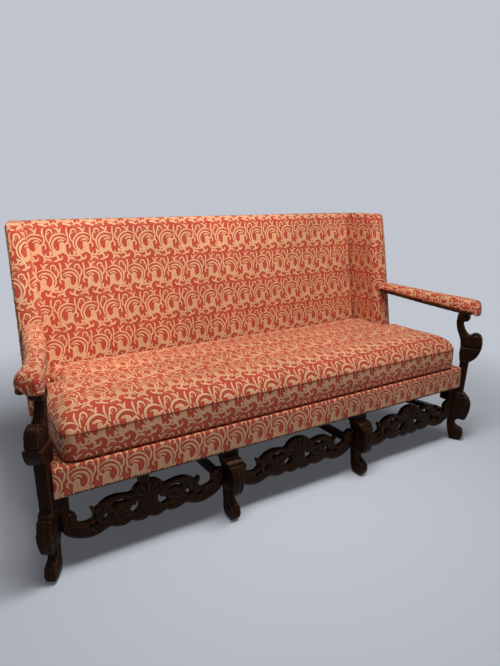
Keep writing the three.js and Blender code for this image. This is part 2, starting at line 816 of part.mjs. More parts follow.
// The arm's padding, with a lip at the nose that hangs down in front of the rail.
function armPad() {
  const rings = arm_station_shares.map(([along, drift, breadth, fullness]) => {
    const lift = along > arm_rail_end_share ? -arm_lip_drop : arm_rail_thickness + seat_gap;
    const bottom = armUnderside(along) + lift;
    const half = scaled(arm_section_shares, breadth * arm_width / 2, fullness * arm_pad_height, bottom);
    const left = half.slice(0, -1).map(([x, z]) => [-x, z]).reverse();
    return armRing(along, drift, [...half, ...left]);
  });
  return loft(rings);
}

// Seat frame

function seatPlan(front, back, margin) {
  return polygon([
    [-seatHalfLength(front) + margin, front], [seatHalfLength(front) - margin, front],
    [seatHalfLength(back) - margin, back], [-seatHalfLength(back) + margin, back]]);
}

const border_margin = border_thickness + seat_gap;

function frontRail() {
  const plan = seatPlan(rail_front, rail_front + rail_thickness, border_margin);
  return cut(sawnFromAbove(plan, rail_bottom, rail_top), postSpaces());
}

function rearRail() {
  return sawnFromAbove(seatPlan(rear_rail_front, rear_rail_back, border_margin), rail_bottom, rail_top);
}

// A strip along the right side of the seat between two margins in from its outer face.
function sideStrip(front, back, outer, inner, top) {
  return sawnFromAbove(polygon([
    [seatHalfLength(front) - inner, front], [seatHalfLength(front) - outer, front],
    [seatHalfLength(back) - outer, back], [seatHalfLength(back) - inner, back],
  ]), rail_bottom, top);
}

const well_front = rail_front + rail_thickness + seat_gap;
const well_back = rear_rail_front - seat_gap;

function sideRail() {
  const strip = sideStrip(well_front, well_back, border_margin, border_margin + rail_thickness, rail_top);
  return cut(strip, [postSpaces()[0]]);
}

function crossRail() {
  const half = cross_rail_width / 2;
  return box([inner_leg_x - half, well_front, rail_bottom], [inner_leg_x + half, well_back, rail_top]);
}

// The padded front border, with a rounded face along the whole seat.
function frontBorder() {
  const face = scaled(border_face_shares, border_thickness, deck_top - rail_bottom, rail_bottom)
    .map(([x, z]) => [x - rail_front_y - border_thickness, z]);
  const strip = sawnFromSide(polygon(face), 2 * seatHalfLength(rail_front_y));
  return cut(strip, postSpaces());
}

// A side border, which runs back under the wing to the outside back.
function sideBorder() {
  const depth = rear_rail_back + back_thickness;
  const strip = sideStrip(rail_front, depth, 0, border_thickness, deck_top);
  const back = (z) => backFaceY(z) + panel_front - seat_gap;
  const profile = sawnFromSide(polygon([
    [-rail_front, rail_bottom - overrun], [-rail_front, deck_top + overrun],
    [-back(deck_top + overrun), deck_top + overrun], [-back(rail_bottom - overrun), rail_bottom - overrun],
  ]), 2 * (seat_front_half_length + overrun));
  return cut(common(strip, profile), [postSpaces()[0]]);
}

function seatDeck() {
  const plan = seatPlan(rail_front, postFrontY(rail_top) - seat_gap, border_margin);
  return cut(sawnFromAbove(plan, deck_bottom, deck_top), postSpaces());
}

// The bays of the seat well, between the side rails and the cross rails.
const well_narrow_end = Math.min(seatHalfLength(well_front), seatHalfLength(well_back));
const well_end = well_narrow_end - border_margin - rail_thickness - seat_gap;
const bay_margin = cross_rail_width / 2 + seat_gap;
const centre_bay = [-inner_leg_x + bay_margin, inner_leg_x - bay_margin];
const right_bay = [inner_leg_x + bay_margin, well_end];

function spacedPoints(low, high, count) {
  const pitch = (high - low) / count;
  return Array.from({ length: count }, (_, i) => low + (i + 1 / 2) * pitch);
}

function webbing([low, high]) {
  const bottom = rail_bottom + web_lift;
  const top = bottom + web_thickness;
  const half = web_width / 2;
  const across = spacedPoints(low, high, bay_web_count);
  const along = spacedPoints(well_front, well_back, long_web_count);
  return join([
    ...across.map((x) => box([x - half, well_front, bottom], [x + half, well_back, top])),
    ...along.map((y) => box([low, y - half, bottom], [high, y + half, top])),
  ]);
}

// Hourglass springs that stand on the webbing, tied together by cords at the top.
function springs([low, high]) {
  const bottom = rail_bottom + web_lift + web_thickness + seat_gap;
  const height = rail_top - bottom;
  const profile = [
    [0, 0], [spring_end_radius, 0], [spring_waist_radius, height / 2], [spring_end_radius, height], [0, height],
  ].map(([radius, z]) => new THREE.Vector2(radius, z));
  const one = new THREE.LatheGeometry(profile, spring_sides).rotateX(Math.PI / 2);
  const places_x = spacedPoints(low, high, springs_per_bay);
  const places_y = spacedPoints(well_front, well_back, spring_rows);
  const half = cord_width / 2;
  const cord_bottom = rail_top - cord_width;
  return join([
    ...places_x.flatMap((x) => places_y.map((y) => one.clone().translate(x, y, bottom))),
    ...places_x.map((x) => box([x - half, well_front, cord_bottom], [x + half, well_back, rail_top])),
    ...places_y.map((y) => box([low, y - half, cord_bottom], [high, y + half, rail_top])),
  ]);
}

// The cloth under the frame, let in round the leg blocks.
function dustCover() {
  const plan = seatPlan(rail_front + rail_thickness / 2, rear_rail_front + rail_thickness / 2,
    2 * border_margin);
  const top = rail_bottom - seat_gap;
  const corner = box(
    [corner_leg_x - corner_block_length - seat_gap, rail_front_y, 0],
    [corner_leg_x + overrun, corner_block_front_y + block_depth + seat_gap, rail_bottom]);
  const inner = box(
    [inner_leg_x - block_half_width - seat_gap, rail_front_y, 0],
    [inner_leg_x + block_half_width + seat_gap, inner_block_front_y + block_depth + seat_gap, rail_bottom]);
  return cut(sawnFromAbove(plan, top - dust_cover_thickness, top),
    [corner, mirrored(corner), inner, mirrored(inner), crestBlock(seat_gap)]);
}

// Loose cushion

const cushion_bottom = deck_top + seat_gap;
const cushion_back_y = backFaceY(deck_top) - cushion_back_margin;
const cushion_ear_y = backFaceY(deck_top) - wing_depth - cushion_wing_margin;

// The cushion's plan at a height: wide in front of the wings and narrow between them.
function cushionRing(inset, level, rise) {
  const front_x = seat_front_half_length - cushion_front_margin - inset;
  const ear_x = front_x - cushion_side_taper;
  const neck_x = wing_crease_x - cushion_neck_margin - inset;
  const front_y = cushion_front_y + inset;
  const ear_y = cushion_ear_y - inset;
  const back_y = cushion_back_y - inset;
  const right = [
    [front_x, front_y, cushion_front_corner - inset], [ear_x, ear_y, cushion_ear_corner - inset],
    [neck_x, ear_y, cushion_neck_corner], [neck_x, back_y, cushion_back_corner - inset],
  ];
  const corners = [...right, ...right.map(([x, y, reach]) => [-x, y, reach]).reverse()];
  return corners.flatMap(([x, y, reach], i) => {
    const corner = new THREE.Vector2(x, y);
    const towards = (other) => new THREE.Vector2(other[0], other[1]).sub(corner)
      .setLength(Math.max(reach, cushion_corner_min)).add(corner);
    const start = towards(corners.at(i - 1));
    const end = towards(corners[(i + 1) % corners.length]);
    const curve = new THREE.QuadraticBezierCurve(start, corner, end);
    return curve.getPoints(round_steps).map((point) => {
      const back_share = Math.min(1, (point.y - cushion_front_y) / cushion_rise_length);
      const z = cushion_bottom + level * cushion_height + rise * back_share * cushion_end_rise;
      return new THREE.Vector3(point.x, point.y, z);
    });
  });
}

function cushion() {
  const sides = cushion_level_shares.map(([inset, level, rise]) => cushionRing(
    inset * cushion_inset_scale, level, rise));
  const middle_y = (cushion_front_y + cushion_ear_y) / 2;
  const crown = cushion_crown_shares.map(([plan, level]) => sides.at(-1).map((point) => new THREE.Vector3(
    point.x * plan, middle_y + (point.y - middle_y) * plan, cushion_bottom + level * cushion_height)));
  return loft([...sides, ...crown]);
}

// The settee

addPair('front_leg_outer', walnut, cornerLeg());
addPair('front_leg_inner', walnut, innerLeg());
addPair('arm_support', walnut, armSupport());
addPair('front_stretcher', walnut, bayStretcher());
addPiece('front_stretcher_centre', walnut, centreStretcher());
addPiece('stretcher_block_left', walnut, crestBlock());
addPair('side_stretcher_outer', walnut, cornerSideStretcher());
addPair('side_stretcher_inner', walnut, innerSideStretcher());
addPair('rear_stretcher', walnut, rearStretcher(inner_leg_x, outer_post_x));
addPiece('rear_stretcher_centre', walnut, rearStretcher(-inner_leg_x, inner_leg_x));
addPair('back_post_outer', walnut, backPost().translate(outer_post_x, 0, 0));
addPair('back_post_inner', walnut, backPost().translate(inner_leg_x, 0, 0));
addPiece('back_top_rail', beech, topRail());
addPair('back_lower_rail', beech, lowerRail(inner_leg_x, outer_post_x));
addPiece('back_lower_rail_centre', beech, lowerRail(-inner_leg_x, inner_leg_x));
addPiece('front_seat_rail', beech, frontRail());
addPiece('back_seat_rail', beech, rearRail());
addPair('side_seat_rail', beech, sideRail());
addPair('seat_cross_rail', beech, crossRail());
addPair('seat_webbing', jute, webbing(right_bay));
addPiece('seat_webbing_centre', jute, webbing(centre_bay));
addPair('seat_springs', steel, springs(right_bay));
addPiece('seat_springs_centre', steel, springs(centre_bay));
addPiece('dust_cover', cambric, dustCover());
addPiece('seat_deck', damask, seatDeck());
addPiece('seat_border_front', damask, frontBorder());
addPair('seat_border', damask, sideBorder());
addPiece('seat_cushion', damask, cushion());
addPiece('inside_back', damask, insideBack());
addPiece('outside_back', damask, outsideBack());
addPair('wing_frame', beech, wingBoard());
addPair('wing_pad', damask, wingPad());
addPair('wing_cover', damask, wingCover());
addPair('arm_rail', walnut, armRail());
addPair('arm_pad', damask, armPad());

// Put the middle of the settee's depth over the origin.
const bounds = new THREE.Box3().setFromObject(settee);
const middle_y = (bounds.min.y + bounds.max.y) / 2;
for (const piece of settee.children) {
  piece.geometry.translate(0, -middle_y, 0);
}

export default settee;
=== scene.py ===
"""High back settee, dressed for its picture.

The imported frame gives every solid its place. Over it this script builds the stuffed and
sewn pieces, the carved walnut and the small metal work, each with its own finish. Every
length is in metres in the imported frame: +X along the settee, -Y out of its front, +Z up.
"""

import logging
import math
from dataclasses import dataclass, field
from enum import Enum
from typing import Callable, Optional, Sequence, Union

import bmesh
import bpy
import numpy as np
from mathutils import Matrix, Vector
from mathutils.kdtree import KDTree


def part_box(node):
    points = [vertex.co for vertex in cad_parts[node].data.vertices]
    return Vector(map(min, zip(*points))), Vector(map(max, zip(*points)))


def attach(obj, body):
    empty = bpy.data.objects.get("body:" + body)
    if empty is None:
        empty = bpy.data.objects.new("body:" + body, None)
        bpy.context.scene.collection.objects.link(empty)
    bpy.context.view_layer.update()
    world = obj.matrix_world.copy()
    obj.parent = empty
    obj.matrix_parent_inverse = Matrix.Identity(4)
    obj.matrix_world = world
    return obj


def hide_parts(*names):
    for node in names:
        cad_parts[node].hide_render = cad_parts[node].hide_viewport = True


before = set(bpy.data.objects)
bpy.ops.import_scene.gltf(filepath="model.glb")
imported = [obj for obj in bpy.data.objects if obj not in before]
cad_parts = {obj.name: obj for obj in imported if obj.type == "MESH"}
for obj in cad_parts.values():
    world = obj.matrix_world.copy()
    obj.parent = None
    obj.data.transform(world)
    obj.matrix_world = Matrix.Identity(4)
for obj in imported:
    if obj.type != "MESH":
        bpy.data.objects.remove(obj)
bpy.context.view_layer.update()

log = logging.getLogger("settee")

MM = 0.001
# Points nearer than this are one point.
WELD = 0.01 * MM
# Less than this counts as nothing in a division or a direction.
NOTHING = 1e-9
CLOTH_LAYER = "cloth"
BAYS = ("left", "centre", "right")
# How finely Blender works out the filling's push, and for how many steps.
CLOTH_QUALITY = 4
CLOTH_STEPS = 20
# Most of a noise texture's values lie between these.
NOISE_LOW, NOISE_HIGH = 0.3, 0.7
Value = Union[bpy.types.NodeSocket, float, tuple]
Placer = Callable[[np.ndarray, np.ndarray], np.ndarray]


class Slot(Enum):
    """The record's material slots."""

    WALNUT = "walnut"
    BEECH = "beech"
    DAMASK = "damask"
    CAMBRIC = "cambric"
    JUTE = "jute"
    STEEL = "steel"


class Body(Enum):
    """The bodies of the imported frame."""

    FRAME = "frame"
    CUSHION = "cushion"


class Side(Enum):
    """The two ends of the settee, each with the sign of its X."""

    LEFT = -1
    RIGHT = 1

    @property
    def label(self) -> str:
        """The word that ends the names of this end's nodes."""
        return self.name.lower()


# Colour and node helpers


def linear(hex_colour: str) -> tuple[float, float, float, float]:
    """Turns an sRGB hex colour into the linear one that a shader takes.

    Args:
        hex_colour: Six hex digits, with or without a leading hash.

    Returns:
        Linear red, green, blue and an alpha of one.
    """
    digits = hex_colour.lstrip("#")
    channels = [int(digits[i : i + 2], 16) / 255 for i in (0, 2, 4)]
    curve = [c / 12.92 if c <= 0.04045 else ((c + 0.055) / 1.055) ** 2.4 for c in channels]
    return (*curve, 1.0)


def add_node(
    tree: bpy.types.NodeTree,
    kind: str,
    inputs: Optional[dict[Union[int, str], Value]] = None,
    **settings: object,
) -> bpy.types.Node:
    """Adds a node, sets it up and links or fills its inputs.

    Args:
        tree: The node tree that gets the node.
        kind: Blender's name of the kind of node.
        inputs: What goes into each input, by name or number: a socket or a plain value.
        **settings: Properties of the node itself.

    Returns:
        The new node.
    """
    node = tree.nodes.new(kind)
    for name, value in settings.items():
        setattr(node, name, value)
    for key, value in (inputs or {}).items():
        socket = node.inputs[key]
        if isinstance(value, bpy.types.NodeSocket):
            tree.links.new(value, socket)
        else:
            socket.default_value = value
    return node


def blank_material(name: str) -> tuple[bpy.types.Material, bpy.types.NodeTree]:
    """Makes a material with an empty node tree.

    Args:
        name: The material's name.

    Returns:
        The material and its tree.
    """
    material = bpy.data.materials.new(name)
    material.use_nodes = True
    material.node_tree.nodes.clear()
    return material, material.node_tree


# Mesh helpers


def ramp(values: np.ndarray, span: tuple[float, float]) -> np.ndarray:
    """Turns values into shares that go from zero to one over a span.

    Args:
        values: The values.
        span: Where the shares start and where they are full.

    Returns:
        A share for each value.
    """
    return np.clip((values - span[0]) / (span[1] - span[0]), 0, 1)


def furrow(angle: np.ndarray) -> np.ndarray:
    """Turns angles into depths: zero on the ridges, one in the furrows between them.

    Args:
        angle: Angles, a full turn for each furrow.

    Returns:
        A depth for each angle.
    """
    return 0.5 - 0.5 * np.cos(angle)


def coordinates(mesh: bpy.types.Mesh) -> np.ndarray:
    """Reads a mesh's vertex positions.

    Args:
        mesh: The mesh to read.

    Returns:
        One row of three numbers for each vertex.
    """
    flat = np.empty(len(mesh.vertices) * 3)
    mesh.vertices.foreach_get("co", flat)
    return flat.reshape(-1, 3)


def vertex_normals(mesh: bpy.types.Mesh) -> np.ndarray:
    """Reads a mesh's vertex normals.

    Args:
        mesh: The mesh to read.

    Returns:
        One row of three numbers for each vertex.
    """
    flat = np.empty(len(mesh.vertices) * 3)
    mesh.vertices.foreach_get("normal", flat)
    return flat.reshape(-1, 3)


def set_coordinates(mesh: bpy.types.Mesh, points: np.ndarray) -> None:
    """Writes vertex positions back into a mesh.

    Args:
        mesh: The mesh to change.
        points: One row of three numbers for each vertex.
    """
    mesh.vertices.foreach_set("co", np.ascontiguousarray(points).ravel())
    mesh.update()


def new_piece(name: str, vertices: Sequence, faces: Sequence) -> bpy.types.Object:
    """Makes a mesh object in the scene.

    Args:
        name: The piece's name.
        vertices: Points of three numbers.
        faces: Rings of vertex numbers.

    Returns:
        The new object, at the origin.
    """
    mesh = bpy.data.meshes.new(name)
    mesh.from_pydata([tuple(v) for v in vertices], [], [tuple(f) for f in faces])
    mesh.update()
    piece = bpy.data.objects.new(name, mesh)
    bpy.context.scene.collection.objects.link(piece)
    return piece


def copy_of(name: str, *nodes: str) -> bpy.types.Object:
    """Copies the meshes of CAD nodes into one new piece.

    Args:
        name: The new piece's name.
        *nodes: The CAD nodes to copy.

    Returns:
        The new piece, with its points welded.
    """
    joined = bmesh.new()
    for node in nodes:
        joined.from_mesh(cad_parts[node].data)
    bmesh.ops.remove_doubles(joined, verts=joined.verts, dist=WELD)
    mesh = bpy.data.meshes.new(name)
    joined.to_mesh(mesh)
    joined.free()
    piece = bpy.data.objects.new(name, mesh)
    bpy.context.scene.collection.objects.link(piece)
    return piece


def apply_modifiers(piece: bpy.types.Object) -> None:
    """Turns what a piece's modifiers make into its plain mesh.

    Args:
        piece: The piece whose modifiers are used up.
    """
    graph = bpy.context.evaluated_depsgraph_get()
    mesh = bpy.data.meshes.new_from_object(piece.evaluated_get(graph))
    old = piece.data
    piece.modifiers.clear()
    piece.data = mesh
    bpy.data.meshes.remove(old)


def remesh(
    piece: bpy.types.Object, voxel: float, smoothing: int = 0, tight_to: Optional[str] = None
) -> None:
    """Rebuilds a piece's surface from even small faces and rounds its corners.

    Args:
        piece: The piece to rebuild.
        voxel: The size of the faces.
        smoothing: How many rounds of smoothing follow.
        tight_to: The CAD node whose surface the faces are drawn onto before that.
    """
    rebuilt = piece.modifiers.new("even_faces", "REMESH")
    rebuilt.mode = "VOXEL"
    rebuilt.voxel_size = voxel
    if tight_to:
        drawn = piece.modifiers.new("drawn_tight", "SHRINKWRAP")
        drawn.wrap_method = "NEAREST_SURFACEPOINT"
        drawn.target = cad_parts[tight_to]
    if smoothing:
        eased = piece.modifiers.new("eased", "SMOOTH")
        eased.iterations = smoothing
    apply_modifiers(piece)


def ease_edges(
    piece: bpy.types.Object, width: float, flat: float = 1.0, sharp: float = 30.0
) -> None:
    """Joins a thin piece's flat faces and rounds the edges between them.

    Args:
        piece: The piece to ease.
        width: How wide each rounding is.
        flat: The angle in degrees up to which neighbouring faces are one.
        sharp: The angle in degrees from which an edge is rounded.
    """
    work = bmesh.new()
    work.from_mesh(piece.data)
    bmesh.ops.dissolve_limit(work, angle_limit=math.radians(flat), verts=work.verts[:],
                             edges=work.edges[:])
    work.to_mesh(piece.data)
    work.free()
    rounded = piece.modifiers.new("eased_edges", "BEVEL")
    rounded.width = width
    rounded.segments = 3
    rounded.angle_limit = math.radians(sharp)
    apply_modifiers(piece)


def subdivide(piece: bpy.types.Object) -> None:
    """Splits each face of a piece once, into a smoother surface.

    Args:
        piece: The piece to refine.
    """
    finer = piece.modifiers.new("finer", "SUBSURF")
    finer.levels = finer.render_levels = 1
    apply_modifiers(piece)


def stuff(piece: bpy.types.Object, pressure: float, shrink: float, cap: float) -> None:
    """Blows up a sewn cover from the inside, as its filling does.

    Args:
        piece: The piece whose cover swells.
        pressure: Blender's cloth pressure.
        shrink: How far the cover starts inside its final place.
        cap: The most that a point may end up from where the solid has it.
    """
    mesh = piece.data
    start = coordinates(mesh)
    set_coordinates(mesh, start - shrink * vertex_normals(mesh))
    cloth = piece.modifiers.new("filling", "CLOTH")
    cloth.settings.use_pressure = True
    cloth.settings.uniform_pressure_force = pressure
    cloth.settings.effector_weights.gravity = 0.0
    cloth.settings.quality = CLOTH_QUALITY
    for step in range(1, CLOTH_STEPS + 1):
        bpy.context.scene.frame_set(step)
    graph = bpy.context.evaluated_depsgraph_get()
    swollen = bpy.data.meshes.new_from_object(piece.evaluated_get(graph))
    moved = coordinates(swollen) - start
    far = np.linalg.norm(moved, axis=1, keepdims=True)
    kept = np.minimum(1.0, cap / np.maximum(far, NOTHING))
    piece.modifiers.clear()
    set_coordinates(mesh, start + moved * kept)
    bpy.data.meshes.remove(swollen)
    bpy.context.scene.frame_set(1)


def shade_smooth(piece: bpy.types.Object) -> None:
    """Shades a piece's faces as one smooth surface.

    Args:
        piece: The piece to shade.
    """
    mesh = piece.data
    mesh.polygons.foreach_set("use_smooth", [True] * len(mesh.polygons))
    mesh.update()


def lay_cloth(piece: bpy.types.Object, place: Placer) -> None:
    """Gives each corner of a piece its place on the cloth that covers it, in metres.

    Args:
        piece: The piece that the cloth covers.
        place: Turns points and their faces' normals into places across and up the cloth.
    """
    mesh = piece.data
    corner_vertex = np.empty(len(mesh.loops), dtype=np.int32)
    mesh.loops.foreach_get("vertex_index", corner_vertex)
    normals = np.empty(len(mesh.polygons) * 3)
    mesh.polygons.foreach_get("normal", normals)
    corners = np.empty(len(mesh.polygons), dtype=np.int32)
    mesh.polygons.foreach_get("loop_total", corners)
    spread = np.repeat(normals.reshape(-1, 3), corners, axis=0)
    places = place(coordinates(mesh)[corner_vertex], spread)
    layer = mesh.uv_layers.new(name=CLOTH_LAYER)
    layer.data.foreach_set("uv", np.ascontiguousarray(places, dtype=np.float32).ravel())


def tube(
    name: str, path: Sequence[Vector], radius: float, sides: int = 8, closed: bool = False
) -> bpy.types.Object:
    """Sweeps a round cord along a path.

    Args:
        name: The piece's name.
        path: The points of the cord's middle line.
        radius: The cord's radius.
        sides: How many sides the cord has.
        closed: Whether the path runs back to its start.

    Returns:
        The cord.
    """
    count = len(path)
    vertices, faces = [], []
    side_way = Vector((0, 0, 1))
    for i, point in enumerate(path):
        before = path[i - 1] if (closed or i > 0) else point
        after = path[(i + 1) % count] if (closed or i < count - 1) else point
        ahead = (after - before).normalized()
        across = side_way - ahead * side_way.dot(ahead)
        if across.length < NOTHING:
            across = ahead.orthogonal()
        across.normalize()
        side_way = across
        other = ahead.cross(across)
        for k in range(sides):
            turn = math.tau * k / sides
            vertices.append(point + radius * (math.cos(turn) * across + math.sin(turn) * other))
    rings = count if closed else count - 1
    for i in range(rings):
        for k in range(sides):
            a, b = i * sides + k, i * sides + (k + 1) % sides
            c = ((i + 1) % count) * sides
            faces.append((a, b, c + (k + 1) % sides, c + k))
    if not closed:
        faces.append(tuple(reversed(range(sides))))
        faces.append(tuple((count - 1) * sides + k for k in range(sides)))
    piece = new_piece(name, vertices, faces)
    shade_smooth(piece)
    return piece


def slice_loops(piece: bpy.types.Object, point: Vector, normal: Vector) -> list[list[Vector]]:
    """Finds the rings in which a plane cuts a piece's surface.

    Args:
        piece: The piece to slice.
        point: A point of the plane.
        normal: The plane's normal.

    Returns:
        Closed rings of points, the longest first.
    """
    work = bmesh.new()
    work.from_mesh(piece.data)
    everything = [*work.verts, *work.edges, *work.faces]
    cut = bmesh.ops.bisect_plane(work, geom=everything, plane_co=point, plane_no=normal)
    # A dict keeps the edges in order, so every run finds the same rings.
    edges = dict.fromkeys(g for g in cut["geom_cut"] if isinstance(g, bmesh.types.BMEdge))
    rings: list[list[Vector]] = []
    while edges:
        edge, _ = edges.popitem()
        first, here = edge.verts
        ring = [first.co.copy(), here.co.copy()]
        while here is not first:
            following = next((e for e in here.link_edges if e in edges), None)
            if following is None:
                break
            del edges[following]
            here = following.other_vert(here)
            ring.append(here.co.copy())
        rings.append(ring[:-1] if here is first else ring)
    work.free()
    rings.sort(key=lambda r: -sum((a - b).length for a, b in zip(r, r[1:])))
    return rings


def evenly(ring: Sequence[Vector], step: float, rounds: int = 3) -> list[Vector]:
    """Spaces points evenly round a ring and eases their wobble.

    Args:
        ring: The points to follow.
        step: The distance between the new points.
        rounds: How often each point is drawn between its neighbours.

    Returns:
        The evenly spaced points.
    """
    points = np.array([tuple(p) for p in [*ring, ring[0]]])
    lengths = np.concatenate([[0], np.cumsum(np.linalg.norm(np.diff(points, axis=0), axis=1))])
    marks = np.linspace(0, lengths[-1], int(lengths[-1] / step), endpoint=False)
    even = np.column_stack([np.interp(marks, lengths, points[:, i]) for i in range(3)])
    for _ in range(rounds):
        even = (np.roll(even, 1, 0) + 2 * even + np.roll(even, -1, 0)) / 4
    return [Vector(p) for p in even]


# Finishes


@dataclass(frozen=True)
class Stroke:
    """One stroke of the scroll figure: part of a ring, or a dot where the radius is zero.

    All lengths are in millimetres inside one repeat, across and up from its lower left
    corner. The angles are in degrees, turning left from straight across, and the stroke
    tapers at both of its ends.
    """

    across: float
    up: float
    radius: float
    half_width: float
    start: float = -180.0
    end: float = 180.0

    @property
    def facing(self) -> float:
        """The angle of the stroke's middle, in radians."""
        return math.radians((self.start + self.end) / 2)

    @property
    def spread(self) -> float:
        """Half of the angle that the stroke spans, in radians."""
        return math.radians(abs(self.end - self.start) / 2)


SCROLL_FIGURE = (
    Stroke(28, 78, 42.6, 3.3, -58, 134),  # outer arch
    Stroke(29, 75.5, 30.4, 3.8, -85, 150),  # inner arch
    Stroke(24, 80, 14.5, 3.0, 20, 150),  # cap over the trunk's head
    Stroke(17, 95, 21.5, 3.5, 150, 290),  # tendril that joins the trunk
    Stroke(-44, 125, 42, 3.3, -30, 30),  # tendril's upper end
    Stroke(22, 76, 0, 10.0),  # head of the trunk
    Stroke(20, 67, 0, 12.0),  # trunk
    Stroke(19.5, 57, 0, 12.6),
    Stroke(14, 46, 0, 8.2),
    Stroke(30, 50, 0, 7.6),
    Stroke(39, 60, 17.5, 6.7, 190, 350),  # cup that joins trunk and arch
    Stroke(18, 21, 19, 4.4, 95, 240),  # foot of the trunk
    Stroke(54, 20, 11.8, 4.2, 64, 312),  # lower tail curl
    Stroke(48, 38, 0, 5.8),  # knot above it
    Stroke(66, 40, 12, 4.3, 165, 285),  # link to the outer tail
    Stroke(80, 37, 9.4, 3.6, 115, 400),  # outer tail curl
    Stroke(62, 54, 12.5, 4.0, 245, 345),  # end of the arch
    Stroke(65, 126, 10.5, 3.1, -80, 240),  # shoulder curl
    Stroke(67, 124.5, 0, 2.0),  # its eye
    Stroke(51, 107, 31, 2.9, -52, 36),  # stem of the shoulder curl
    Stroke(53, 117, 27.5, 4.0, 96, 168),  # leaf on the shoulder
    Stroke(8, 132, 15, 2.8, -20, 62),  # leaf beside the tendril
    Stroke(84, 0, 18, 3.5, 62, 150),  # leaf in the band between two rows
    Stroke(99, 70, 13, 3.0, 105, 240),  # twig beside the tendril
    Stroke(36, 24, 11, 2.7, 150, 285),  # bud inside the foot
    Stroke(29, 5, 13, 2.5, 20, 110),  # blade under it
)
# The ground shows through the trunk in one thin crescent.
SCROLL_CUTS = (Stroke(13, 62, 13, 1.1, -70, 80),)
# Shadows of leaves, woven in a tone between the ground's and the figure's.
SCROLL_SHADES = (
    Stroke(78, 14, 0, 10),
    Stroke(90, 24, 0, 7),
    Stroke(40, 122, 0, 8),
    Stroke(84, 100, 0, 7),
    Stroke(70, 8, 0, 6),
)


